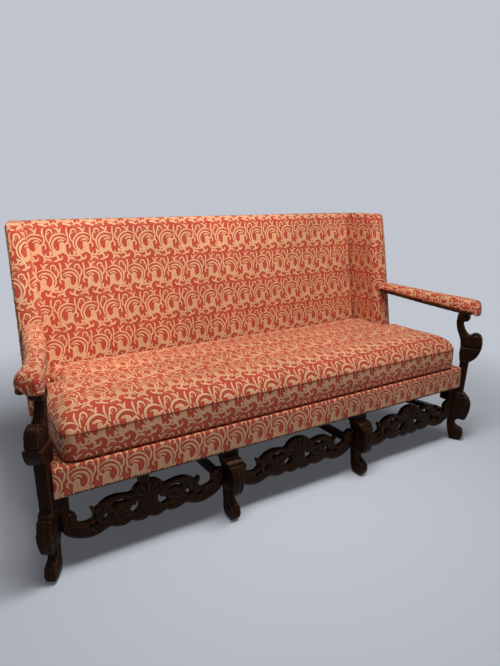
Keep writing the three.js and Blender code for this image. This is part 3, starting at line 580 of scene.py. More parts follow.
@dataclass(frozen=True)
class ScrollDamask:
    """Silk and cotton damask, jacquard woven.

    The figure is a satin float in cream and gold, so it lies a little proud and catches
    more light than the matt coral ground around it.
    """

    ground: str = "C04734"
    figure: str = "EBB78B"
    gold: str = "9C6538"
    half_tone: str = "CC6E52"
    edge_line: str = "6A2A1A"
    sheen: str = "F2C7A8"
    # The repeat's width and height and where its rows start, in millimetres.
    repeat: float = 95.5
    row: float = 143.5
    first_row: float = 35.0
    even_start: float = 40.5
    odd_start: float = 76.5
    # Real threads are 0.3 mm apart; they are drawn 1.5 mm apart so that a little of the
    # weave shows at this size. Each is uneven over 16.7 mm of its length.
    thread: float = 1.5
    unevenness: float = 16.7
    # The loose weave lets the figure wander by a millimetre or two over 33.3 mm.
    wander: float = 6.0
    wander_length: float = 33.3
    # The cloth has faded unevenly over 250 mm, between these two shades.
    fading_length: float = 250.0
    fading: tuple[float, float] = (0.90, 1.08)
    # Where tones change, in millimetres outside a stroke's edge, from none to full.
    figure_span: tuple[float, float] = (0.7, -0.7)
    shadow_span: tuple[float, float] = (3.0, -3.0)
    line_span: tuple[float, float] = (3.0, 1.0)
    line_stop: tuple[float, float] = (-0.2, 0.8)
    heart_span: tuple[float, float] = (-2.2, -11.0)
    # A thin gold vein runs inside every stroke: its middle, and how its sides fade.
    vein_middle: float = -3.7
    vein_span: tuple[float, float] = (1.4, 0.4)
    # How strongly each of these tones shows.
    shadow_weight: float = 0.7
    line_weight: float = 0.6
    heart_weight: float = 0.45
    vein_weight: float = 0.5
    slub_weight: float = 0.10
    # A stroke keeps its width up to near its tips, which reach this far out of its ring.
    taper: float = 0.22
    tip: float = 2.0
    # What stands proud: the satin float, the threads, and the depth of both together.
    float_relief: float = 0.6
    thread_relief: float = 0.35
    relief: float = 0.6 * MM
    ground_roughness: float = 0.86
    float_roughness: float = 0.62

    def material(self) -> bpy.types.Material:
        """Builds the cloth's material.

        Returns:
            The material.
        """
        material, tree = blank_material("scroll_damask")

        def sum_of(operation: str, *values: Value, clamp: bool = False) -> bpy.types.NodeSocket:
            """Works out one sum of sockets and numbers.

            Args:
                operation: Blender's name of the sum.
                *values: What goes into it.
                clamp: Whether the result stays between zero and one.

            Returns:
                The result's socket.
            """
            node = add_node(tree, "ShaderNodeMath", dict(enumerate(values)),
                            operation=operation, use_clamp=clamp)
            return node.outputs[0]

        cloth = add_node(tree, "ShaderNodeUVMap", uv_map=CLOTH_LAYER)
        drift = add_node(tree, "ShaderNodeTexNoise",
                         {"Vector": cloth.outputs[0], "Scale": 1000 / self.wander_length,
                          "Detail": 1.0})
        wander = add_node(tree, "ShaderNodeVectorMath",
                          {0: drift.outputs["Color"], 1: (0.5, 0.5, 0.5)}, operation="SUBTRACT")
        wandering = add_node(tree, "ShaderNodeVectorMath",
                             {0: wander.outputs[0], "Scale": self.wander}, operation="SCALE")
        in_mm = add_node(tree, "ShaderNodeVectorMath",
                         {0: cloth.outputs[0], "Scale": 1000.0}, operation="SCALE")
        placed = add_node(tree, "ShaderNodeVectorMath",
                          {0: in_mm.outputs[0], 1: wandering.outputs[0]}, operation="ADD")
        parts = add_node(tree, "ShaderNodeSeparateXYZ", {0: placed.outputs[0]})
        raised = sum_of("ADD", parts.outputs[1], self.first_row)
        row_number = sum_of("FLOOR", sum_of("DIVIDE", raised, self.row))
        odd = sum_of("FLOORED_MODULO", row_number, 2.0)
        up = sum_of("SUBTRACT", raised, sum_of("MULTIPLY", row_number, self.row))
        shift = sum_of("MULTIPLY_ADD", odd, self.odd_start - self.even_start, self.even_start)
        flip = sum_of("MULTIPLY_ADD", odd, -2.0, 1.0)
        across = sum_of("MULTIPLY", sum_of("SUBTRACT", parts.outputs[0], shift), flip)

        figure: Value = self.repeat
        for stroke in SCROLL_FIGURE:
            figure = sum_of("MINIMUM", figure, self.distance(tree, sum_of, stroke, across, up))
        for stroke in SCROLL_CUTS:
            outside = sum_of("MULTIPLY", self.distance(tree, sum_of, stroke, across, up), -1.0)
            figure = sum_of("MAXIMUM", figure, outside)

        shadow: Value = self.repeat
        for stroke in SCROLL_SHADES:
            shadow = sum_of("MINIMUM", shadow, self.distance(tree, sum_of, stroke, across, up))

        inside = add_node(tree, "ShaderNodeMapRange",
                          {"Value": figure, "From Min": self.figure_span[0],
                           "From Max": self.figure_span[1]})
        shaded = add_node(tree, "ShaderNodeMapRange",
                          {"Value": shadow, "From Min": self.shadow_span[0],
                           "From Max": self.shadow_span[1], "To Max": self.shadow_weight})
        heart = add_node(tree, "ShaderNodeMapRange",
                         {"Value": figure, "From Min": self.heart_span[0],
                          "From Max": self.heart_span[1], "To Max": self.heart_weight})
        line_outer = add_node(tree, "ShaderNodeMapRange",
                              {"Value": figure, "From Min": self.line_span[0],
                               "From Max": self.line_span[1], "To Max": self.line_weight})
        line_inner = add_node(tree, "ShaderNodeMapRange",
                              {"Value": figure, "From Min": self.line_stop[0],
                               "From Max": self.line_stop[1]})
        line = sum_of("MULTIPLY", line_outer.outputs[0], line_inner.outputs[0])
        off_vein = sum_of("ABSOLUTE", sum_of("SUBTRACT", figure, self.vein_middle))
        vein = add_node(tree, "ShaderNodeMapRange",
                        {"Value": off_vein, "From Min": self.vein_span[0],
                         "From Max": self.vein_span[1], "To Max": self.vein_weight})
        gilt = sum_of("MAXIMUM", heart.outputs[0], vein.outputs[0])

        weft = self.threads(tree, cloth.outputs[0], along_weft=True)
        warp = self.threads(tree, cloth.outputs[0], along_weft=False)
        weave = sum_of("ADD", weft, warp)
        faded = add_node(tree, "ShaderNodeTexNoise",
                         {"Vector": cloth.outputs[0], "Scale": 1000 / self.fading_length,
                          "Detail": 3.0})

        gilded = add_node(tree, "ShaderNodeMix", {"Factor": gilt, "A": linear(self.figure),
                                                  "B": linear(self.gold)}, data_type="RGBA")
        toned = add_node(tree, "ShaderNodeMix",
                         {"Factor": shaded.outputs[0], "A": linear(self.ground),
                          "B": linear(self.half_tone)}, data_type="RGBA")
        lined = add_node(tree, "ShaderNodeMix",
                         {"Factor": line, "A": toned.outputs["Result"],
                          "B": linear(self.edge_line)}, data_type="RGBA")
        coloured = add_node(tree, "ShaderNodeMix",
                            {"Factor": inside.outputs[0], "A": lined.outputs["Result"],
                             "B": gilded.outputs["Result"]}, data_type="RGBA")
        dyed = add_node(tree, "ShaderNodeMapRange",
                        {"Value": faded.outputs["Fac"], "From Min": NOISE_LOW,
                         "From Max": NOISE_HIGH, "To Min": self.fading[0],
                         "To Max": self.fading[1]})
        slub = sum_of("MULTIPLY_ADD", weave, self.slub_weight, 1 - self.slub_weight)
        shade = sum_of("MULTIPLY", dyed.outputs[0], slub)
        worn = add_node(tree, "ShaderNodeVectorMath",
                        {0: coloured.outputs["Result"], "Scale": shade}, operation="SCALE")

        height = sum_of("ADD", sum_of("MULTIPLY", inside.outputs[0], self.float_relief),
                        sum_of("MULTIPLY", weave, self.thread_relief))
        bump = add_node(tree, "ShaderNodeBump",
                        {"Height": height, "Strength": 0.5, "Distance": self.relief})
        roughness = add_node(tree, "ShaderNodeMapRange",
                             {"Value": inside.outputs[0], "To Min": self.ground_roughness,
                              "To Max": self.float_roughness})
        surface = add_node(tree, "ShaderNodeBsdfPrincipled",
                           {"Base Color": worn.outputs[0], "Normal": bump.outputs[0],
                            "Roughness": roughness.outputs[0], "IOR": 1.5,
                            "Specular IOR Level": 0.35, "Sheen Weight": 0.25,
                            "Sheen Roughness": 0.5, "Sheen Tint": linear(self.sheen)})
        add_node(tree, "ShaderNodeOutputMaterial", {0: surface.outputs[0]})
        return material

    def distance(
        self,
        tree: bpy.types.NodeTree,
        sum_of: Callable[..., bpy.types.NodeSocket],
        stroke: Stroke,
        across: bpy.types.NodeSocket,
        up: bpy.types.NodeSocket,
    ) -> bpy.types.NodeSocket:
        """Works out how far a place lies outside one stroke, in millimetres.

        Args:
            tree: The material's tree.
            sum_of: Works out one sum in that tree.
            stroke: The stroke.
            across: The place across the repeat.
            up: The place up the repeat.

        Returns:
            The distance, less than zero inside the stroke.
        """
        half = self.repeat / 2
        aside = sum_of("WRAP", sum_of("SUBTRACT", across, stroke.across), half, -half)
        above = sum_of("SUBTRACT", up, stroke.up)
        arm = add_node(tree, "ShaderNodeCombineXYZ", {0: aside, 1: above})
        reach = add_node(tree, "ShaderNodeVectorMath", {0: arm.outputs[0]}, operation="LENGTH")
        if stroke.radius == 0:
            return sum_of("SUBTRACT", reach.outputs["Value"], stroke.half_width)
        turn = stroke.facing
        along = add_node(tree, "ShaderNodeVectorMath",
                         {0: arm.outputs[0], 1: (math.cos(turn), math.sin(turn), 0.0)},
                         operation="DOT_PRODUCT")
        closeness = sum_of("DIVIDE", along.outputs["Value"], reach.outputs["Value"])
        inside = add_node(tree, "ShaderNodeMapRange",
                          {"Value": closeness,
                           "From Min": math.cos(stroke.spread), "From Max": 1.0})
        swell = sum_of("POWER", inside.outputs[0], self.taper)
        off_ring = sum_of("ABSOLUTE", sum_of("SUBTRACT", reach.outputs["Value"], stroke.radius))
        narrowed = sum_of("MULTIPLY_ADD", swell, -(stroke.half_width + self.tip), self.tip)
        return sum_of("ADD", off_ring, narrowed)

    def threads(
        self, tree: bpy.types.NodeTree, cloth: bpy.types.NodeSocket, along_weft: bool
    ) -> bpy.types.NodeSocket:
        """Draws the threads that run one way, uneven along their length.

        Args:
            tree: The material's tree.
            cloth: The place on the cloth.
            along_weft: Whether the threads run across the cloth.

        Returns:
            A socket from zero between threads to one on them.
        """
        fine, coarse = 1000 / self.thread, 1000 / self.unevenness
        scale = (coarse, fine, 1.0) if along_weft else (fine, coarse, 1.0)
        stretched = add_node(tree, "ShaderNodeVectorMath", {0: cloth, 1: scale},
                             operation="MULTIPLY")
        noise = add_node(tree, "ShaderNodeTexNoise",
                         {"Vector": stretched.outputs[0], "Scale": 1.0, "Detail": 1.0})
        return noise.outputs["Fac"]


@dataclass(frozen=True)
class WaxedWalnut:
    """Walnut, carved by hand, stained almost black and waxed.

    The stain hides most of the grain, the wax gives a satin gloss, the raised edges are
    rubbed a little browner, and painted shade darkens the hollows to near black.
    """

    body: str = "28160D"
    dark: str = "0F0704"
    rubbed: str = "683C22"
    # Painted shade: the near black put into the hollows, where shade falls.
    shaded_hollow: str = "070302"
    # The wax has yellowed, so what the wood mirrors is tinted warm.
    wax: str = "FFC896"
    roughness: float = 0.32
    # Walnut's pores are about 0.2 mm wide and its figure lines 2 to 4 mm apart; only the
    # figure is coarse enough to draw as it is, and the pores are drawn 0.8 mm wide. Both
    # are drawn out along the grain.
    figure: float = 3.0
    pore: float = 0.8
    pore_relief: float = 0.3 * MM
    grain_squeeze: float = 0.06
    # Wear and wax lie in patches some 71 mm wide, which change the gloss by this much.
    patch: float = 71.4
    gloss_change: tuple[float, float] = (-0.06, 0.12)
    # What Blender's pointiness counts as a rubbed edge and as a hollow with painted
    # shade, none to full.
    edge_span: tuple[float, float] = (0.505, 0.56)
    shaded_hollow_span: tuple[float, float] = (0.495, 0.455)
    # How much duller the dust makes a hollow.
    dust: float = 0.35

    def material(self, grain: Vector, name: str) -> bpy.types.Material:
        """Builds the wood's material.

        Args:
            grain: The way the grain runs.
            name: The material's name.

        Returns:
            The material.
        """
        material, tree = blank_material(name)
        place = add_node(tree, "ShaderNodeTexCoord")
        squeeze = tuple(self.grain_squeeze if g else 1.0 for g in grain)
        along = add_node(tree, "ShaderNodeVectorMath",
                         {0: place.outputs["Object"], 1: squeeze}, operation="MULTIPLY")
        lines = add_node(tree, "ShaderNodeTexNoise",
                         {"Vector": along.outputs[0], "Scale": 1000 / self.figure,
                          "Detail": 3.0, "Distortion": 0.4})
        pores = add_node(tree, "ShaderNodeTexNoise",
                         {"Vector": along.outputs[0], "Scale": 1000 / self.pore, "Detail": 1.0})
        patches = add_node(tree, "ShaderNodeTexNoise",
                           {"Vector": place.outputs["Object"], "Scale": 1000 / self.patch,
                            "Detail": 3.0})
        stain = add_node(tree, "ShaderNodeMapRange",
                         {"Value": lines.outputs["Fac"], "From Min": 0.35, "From Max": 0.7})
        base = add_node(tree, "ShaderNodeMix",
                        {"Factor": stain.outputs[0], "A": linear(self.dark),
                         "B": linear(self.body)}, data_type="RGBA")
        edges = add_node(tree, "ShaderNodeNewGeometry")
        worn = add_node(tree, "ShaderNodeMapRange",
                        {"Value": edges.outputs["Pointiness"],
                         "From Min": self.edge_span[0], "From Max": self.edge_span[1]})
        # The hollows take painted shade in their colour, and dust's dullness in their roughness.
        shaded_hollow = add_node(tree, "ShaderNodeMapRange",
                          {"Value": edges.outputs["Pointiness"],
                           "From Min": self.shaded_hollow_span[0], "From Max": self.shaded_hollow_span[1]})
        # Here the painted shade darkens the hollows.
        deep = add_node(tree, "ShaderNodeMix",
                        {"Factor": shaded_hollow.outputs[0], "A": base.outputs["Result"],
                         "B": linear(self.shaded_hollow)}, data_type="RGBA")
        worn_patch = add_node(tree, "ShaderNodeMath",
                              {0: worn.outputs[0], 1: patches.outputs["Fac"]},
                              operation="MULTIPLY")
        rubbed = add_node(tree, "ShaderNodeMix",
                          {"Factor": worn_patch.outputs[0], "A": deep.outputs["Result"],
                           "B": linear(self.rubbed)}, data_type="RGBA")
        gloss = add_node(tree, "ShaderNodeMapRange",
                         {"Value": patches.outputs["Fac"], "From Min": NOISE_LOW,
                          "From Max": NOISE_HIGH,
                          "To Min": self.roughness + self.gloss_change[0],
                          "To Max": self.roughness + self.gloss_change[1]})
        dusty = add_node(tree, "ShaderNodeMath",
                         {0: shaded_hollow.outputs[0], 1: self.dust, 2: gloss.outputs[0]},
                         operation="MULTIPLY_ADD")
        bump = add_node(tree, "ShaderNodeBump",
                        {"Height": pores.outputs["Fac"], "Strength": 0.25,
                         "Distance": self.pore_relief})
        surface = add_node(tree, "ShaderNodeBsdfPrincipled",
                           {"Base Color": rubbed.outputs["Result"],
                            "Roughness": dusty.outputs[0], "Normal": bump.outputs[0],
                            "IOR": 1.5, "Specular IOR Level": 0.08,
                            "Specular Tint": linear(self.wax),
                            "Coat Weight": 0.05, "Coat Roughness": 0.15})
        add_node(tree, "ShaderNodeOutputMaterial", {0: surface.outputs[0]})
        return material


@dataclass(frozen=True)
class PlainStuff:
    """A plain stuff of the settee: sawn wood, web, lining cloth, drawn wire or piping.

    Two tones in streaks are all that the eye gets from it. The streak is a width in
    millimetres, and the stretch is under one along the axis in which it runs on.
    """

    name: str
    light: str
    dark: str
    roughness: float
    streak: float
    relief: float
    stretch: tuple[float, float, float] = (1.0, 1.0, 1.0)
    metallic: float = 0.0

    def material(self) -> bpy.types.Material:
        """Builds the stuff's material.

        Returns:
            The material.
        """
        material, tree = blank_material(self.name)
        place = add_node(tree, "ShaderNodeTexCoord")
        along = add_node(tree, "ShaderNodeVectorMath",
                         {0: place.outputs["Object"], 1: self.stretch}, operation="MULTIPLY")
        streaks = add_node(tree, "ShaderNodeTexNoise",
                           {"Vector": along.outputs[0], "Scale": 1000 / self.streak,
                            "Detail": 4.0})
        tone = add_node(tree, "ShaderNodeMapRange",
                        {"Value": streaks.outputs["Fac"], "From Min": 0.35, "From Max": 0.65})
        colour = add_node(tree, "ShaderNodeMix",
                          {"Factor": tone.outputs[0], "A": linear(self.dark),
                           "B": linear(self.light)}, data_type="RGBA")
        bump = add_node(tree, "ShaderNodeBump",
                        {"Height": streaks.outputs["Fac"], "Strength": 0.4,
                         "Distance": self.relief})
        surface = add_node(tree, "ShaderNodeBsdfPrincipled",
                           {"Base Color": colour.outputs["Result"], "Normal": bump.outputs[0],
                            "Roughness": self.roughness, "Metallic": self.metallic})
        add_node(tree, "ShaderNodeOutputMaterial", {0: surface.outputs[0]})
        return material


# Beech as it leaves the saw: pale, dry, with saw marks a millimetre or two apart.
SAWN_BEECH = PlainStuff("sawn_beech", light="C9A274", dark="A97F50", roughness=0.75,
                        streak=1.6, relief=0.3 * MM, stretch=(1.0, 1.0, 0.08))
# Jute web, plain woven: hairy brown yarn about 2 mm thick.
JUTE_WEB = PlainStuff("jute_web", light="B08A58", dark="7C5A34", roughness=0.95,
                      streak=2.0, relief=0.6 * MM, stretch=(1.0, 0.3, 1.0))
# Black cambric, plain woven and glazed: its 0.4 mm threads are drawn 2 mm apart.
BLACK_CAMBRIC = PlainStuff("black_cambric", light="24211F", dark="151312", roughness=0.9,
                           streak=2.0, relief=0.2 * MM)
# Spring steel, drawn and left dull.
SPRING_STEEL = PlainStuff("spring_steel", light="8C8A86", dark="6A6865", roughness=0.45,
                          streak=6.0, relief=0.05 * MM, metallic=1.0)
# Piping cord covered with the plain coral ground of the same cloth, darker: partly a deeper
# tone of its own, partly painted shade for the shadow line along the seams.
CORAL_PIPING = PlainStuff("coral_piping", light="A64634", dark="7C2C1F", roughness=0.85,
                          streak=2.0, relief=0.3 * MM, stretch=(1.0, 1.0, 0.4))
# Upholstery nails, pressed steel, browned: a dark dull gloss.
BROWNED_NAIL = PlainStuff("browned_nail", light="3A2A20", dark="1E1510", roughness=0.38,
                          streak=4.0, relief=0.05 * MM, metallic=0.8)


@dataclass
class Finishes:
    """Every finish of the settee, made once and shared by its pieces."""

    damask: bpy.types.Material = field(default_factory=lambda: ScrollDamask().material())
    walnut_upright: bpy.types.Material = field(
        default_factory=lambda: WaxedWalnut().material(Vector((0, 0, 1)), "waxed_walnut_upright"))
    walnut_long: bpy.types.Material = field(
        default_factory=lambda: WaxedWalnut().material(Vector((1, 0, 0)), "waxed_walnut_long"))
    walnut_deep: bpy.types.Material = field(
        default_factory=lambda: WaxedWalnut().material(Vector((0, 1, 0)), "waxed_walnut_deep"))
    beech: bpy.types.Material = field(default_factory=SAWN_BEECH.material)
    jute: bpy.types.Material = field(default_factory=JUTE_WEB.material)
    cambric: bpy.types.Material = field(default_factory=BLACK_CAMBRIC.material)
    steel: bpy.types.Material = field(default_factory=SPRING_STEEL.material)
    piping: bpy.types.Material = field(default_factory=CORAL_PIPING.material)
    nail: bpy.types.Material = field(default_factory=BROWNED_NAIL.material)


def dress(
    piece: bpy.types.Object,
    material: bpy.types.Material,
    stands_for: Sequence[str] = (),
    body: Body = Body.FRAME,
) -> None:
    """Gives a new piece its finish and its body, and hides the CAD nodes that it stands for.

    Args:
        piece: The piece.
        material: Its finish.
        stands_for: The CAD nodes that the piece replaces.
        body: The body that the piece moves with.
    """
    piece.data.materials.clear()
    piece.data.materials.append(material)
    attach(piece, body.value)
    if stands_for:
        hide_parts(*stands_for)
    log.info("%s: %d faces", piece.name, len(piece.data.polygons))


def dress_node(node: str, material: bpy.types.Material) -> None:
    """Gives a CAD node its finish.

    Args:
        node: The node's name.
        material: Its finish.
    """
    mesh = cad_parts[node].data
    if mesh.materials:
        mesh.materials[0] = material
    else:
        mesh.materials.append(material)
    log.info("%s: CAD shape kept", node)


# Upholstery


@dataclass
class SeatCushion:
    """The long loose cushion, a stuffed case with a border between two welted seams."""

    finishes: Finishes
    voxel: float = 10 * MM
    corner_easing: int = 4
    pressure: float = 4.0
    shrink: float = 6 * MM
    cap: float = 16 * MM
    fill: float = 0.8
    hollow_depth: float = 1.6 * MM
    pucker_depth: float = 0.9 * MM
    welt_radius: float = 2.2 * MM
    welt_step: float = 9 * MM
    top_seam_front: float = 483 * MM
    top_seam_back: float = 507 * MM
    lower_seam: float = 396 * MM
    # Faces that look up or down more than this aren't the border's.
    level: float = 0.55
    # How far the border's pattern is drawn down to meet the top's.
    border_drop: float = 20 * MM

    def build(self) -> None:
        """Builds the case and its two welts."""
        node = "seat_cushion"
        case = copy_of("cushion_case", node)
        remesh(case, self.voxel, smoothing=self.corner_easing)
        stuff(case, self.pressure, self.shrink, self.cap)
        subdivide(case)
        self.dimple(case)
        shade_smooth(case)
        lay_cloth(case, self.on_case)
        dress(case, self.finishes.damask, [node], Body.CUSHION)
        low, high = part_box(node)
        rise = (self.top_seam_back - self.top_seam_front) / (high.y - low.y)
        top = Vector((0, low.y, self.top_seam_front))
        self.welt(case, "cushion_welt_top", top, Vector((0, -rise, 1)))
        self.welt(case, "cushion_welt_lower", Vector((0, 0, self.lower_seam)), Vector((0, 0, 1)))

    def dimple(self, case: bpy.types.Object) -> None:
        """Gives the filling the soft unevenness of a case that has been sat on.

        The waves are uneven: broad hollows some 700 mm apart, small ones 300 to 400 mm
        apart, and puckers in the border every 140 mm.

        Args:
            case: The stuffed case.
        """
        points, normals = coordinates(case.data), vertex_normals(case.data)
        x, y = points[:, 0], points[:, 1]
        broad = np.sin(x * 9.1 + 1.3 * np.sin(y * 7.0)) * np.sin(y * 8.3 + 0.7)
        small = np.sin(x * 21.0 + y * 5.0) * np.sin(y * 15.0 - x * 3.0)
        top = np.clip(normals[:, 2], 0, 1)
        border = 1 - np.abs(normals[:, 2])
        puckers = np.sin(x * 46.0 + 2.0 * np.sin(x * 7.0))
        depth = ((broad + 0.6 * small) * top * self.hollow_depth
                 + puckers * border * self.pucker_depth)
        set_coordinates(case.data, points + normals * depth[:, None])

    def on_case(self, points: np.ndarray, normals: np.ndarray) -> np.ndarray:
        """Lays the cloth over the top, the bottom and the border of the case.

        Args:
            points: The case's corner points.
            normals: The normals of their faces.

        Returns:
            Places across and up the cloth.
        """
        x, y, z = points.T
        level = np.abs(normals[:, 2]) > self.level
        end = ~level & (np.abs(normals[:, 1]) < np.abs(normals[:, 0]))
        return np.column_stack([np.where(end, y, x),
                                np.where(level, y, z - self.border_drop)])

    def welt(
        self, case: bpy.types.Object, name: str, point: Vector, normal: Vector
    ) -> None:
        """Sews a covered cord round the case where a plane meets it.

        Args:
            case: The stuffed case.
            name: The welt's name.
            point: A point of the plane.
            normal: The plane's normal.
        """
        ring = slice_loops(case, point, normal)[0]
        cord = tube(name, evenly(ring, self.welt_step), self.welt_radius, closed=True)
        dress(cord, self.finishes.piping, body=Body.CUSHION)


@dataclass
class Back:
    """The tall raked back: a stuffed inside panel, a plain outside one and two wings."""

    finishes: Finishes
    # How far the back leans back for each metre of its height.
    rake: float = 0.1615
    top: float = 1100 * MM
    top_front_y: float = 370.2 * MM
    # Faces that look up more than this lie over the top edge.
    over: float = 0.7
    voxel: float = 9 * MM
    wing_voxel: float = 8 * MM
    corner_easing: int = 3
    pressure: float = 3.0
    panel_shrink: float = 3 * MM
    panel_cap: float = 7 * MM
    wing_shrink: float = 2 * MM
    wing_cap: float = 5 * MM
    panel_fill: float = 0.85
    cover_fill: float = 0.9
    girth_height: float = 850 * MM
    girth_step: float = 3 * MM
    # The crease where the back meets a wing, and the upright folds gathered beside it.
    crease_x: float = 857 * MM
    fold_reach: float = 22 * MM
    fold_pitch: float = 13 * MM
    fold_waver: float = 5 * MM
    fold_depth: float = 1.8 * MM
    cover_rounding: float = 2 * MM

    def build(self) -> None:
        """Builds the panels and both wings."""
        self.inside()
        self.outside()
        for side in Side:
            self.wing(side)

    def down_slope(self, z: np.ndarray) -> np.ndarray:
        """Turns heights into places up the cloth.

        Args:
            z: Heights.

        Returns:
            Places up the cloth, zero at the top of the back.
        """
        return (z - self.top) * math.hypot(1, self.rake)

    def on_panel(self, points: np.ndarray, normals: np.ndarray) -> np.ndarray:
        """Lays the cloth down the raked front and over the top.

        Args:
            points: The panel's corner points.
            normals: The normals of their faces.

        Returns:
            Places across and up the cloth.
        """
        x, y, z = points.T
        up = self.down_slope(z)
        over = normals[:, 2] > self.over
        up[over] = y[over] - self.top_front_y
        return np.column_stack([x, up])

    def girth(self, node: str, side: Side) -> tuple[KDTree, np.ndarray]:
        """Measures round a wing at one height, from the crease by the back outwards.

        Args:
            node: The wing's CAD node.
            side: The end of the settee.

        Returns:
            The points of the ring in a search tree, and each one's length from the crease.
        """
        gauge = copy_of("gauge", node)
        level = Vector((0, 0, self.girth_height))
        ring = evenly(slice_loops(gauge, level, Vector((0, 0, 1)))[0], self.girth_step)
        bpy.data.objects.remove(gauge)
        start = max(range(len(ring)), key=lambda i: ring[i].y - 2 * ring[i].x * side.value)
        ring = ring[start:] + ring[:start]
        if ring[len(ring) // 4].x * side.value > ring[-len(ring) // 4].x * side.value:
            ring.reverse()
        steps = [0.0] + [(b - a).length for a, b in zip(ring, ring[1:])]
        track = KDTree(len(ring))
        for i, point in enumerate(ring):
            track.insert((point.x, point.y, 0), i)
        track.balance()
        return track, np.cumsum(steps)

    def gather(self, panel: bpy.types.Object) -> None:
        """Presses upright folds into the cloth where a panel meets the crease at a wing.

        The folds waver every 370 mm of height and deepen and fade every 570 mm.

        Args:
            panel: The panel to press.
        """
        points = coordinates(panel.data)
        x, _, z = points.T
        off = np.abs(np.abs(x) - self.crease_x)
        near = np.exp(-((off / self.fold_reach) ** 2))
        waver = self.fold_waver * np.sin(z * 17.0 + np.sign(x))
        fold = np.cos((off + waver) * math.tau / self.fold_pitch)
        run = 0.55 + 0.45 * np.sin(z * 11.0 + 1.0)
        depth = near * fold * run * self.fold_depth
        set_coordinates(panel.data, points + vertex_normals(panel.data) * depth[:, None])

    def inside(self) -> None:
        """Builds the stuffed panel that is leaned on."""
        node = "inside_back"
        panel = copy_of("inside_back_panel", node)
        remesh(panel, self.voxel, smoothing=self.corner_easing)
        stuff(panel, self.pressure, self.panel_shrink, self.panel_cap)
        subdivide(panel)
        self.gather(panel)
        shade_smooth(panel)
        lay_cloth(panel, self.on_panel)
        dress(panel, self.finishes.damask, [node])

    def outside(self) -> None:
        """Builds the cloth panel that closes the back."""
        node = "outside_back"
        panel = copy_of("outside_back_panel", node)
        ease_edges(panel, self.cover_rounding)
        lay_cloth(panel, lambda p, n: np.column_stack([-p[:, 0], self.down_slope(p[:, 2])]))
        dress(panel, self.finishes.damask, [node])

    def wing(self, side: Side) -> None:
        """Builds one wing's stuffed inner face and its outer cover.

        Args:
            side: The end of the settee.
        """

        def on_wing(points: np.ndarray, normals: np.ndarray) -> np.ndarray:
            """Lays the cloth from the crease round the wing's nose to its outside.

            Args:
                points: The wing's corner points.
                normals: The normals of their faces; not used.

            Returns:
                Places across and up the cloth.
            """
            level = points[:, 1] - self.rake * (points[:, 2] - self.girth_height)
            across = np.array([marks[track.find((x, y, 0))[1]]
                               for x, y in zip(points[:, 0], level)])
            return np.column_stack([across * side.value, self.down_slope(points[:, 2])])

        track, marks = self.girth(f"wing_pad_{side.label}", side)
        for kind, puff in (("wing_pad", True), ("wing_cover", False)):
            node = f"{kind}_{side.label}"
            pad = copy_of(f"{kind}_cloth_{side.label}", node)
            if puff:
                remesh(pad, self.wing_voxel, smoothing=self.corner_easing, tight_to=node)
                stuff(pad, self.pressure, self.wing_shrink, self.wing_cap)
                subdivide(pad)
                self.gather(pad)
                shade_smooth(pad)
            else:
                ease_edges(pad, self.cover_rounding)
            lay_cloth(pad, on_wing)
            dress(pad, self.finishes.damask, [node])


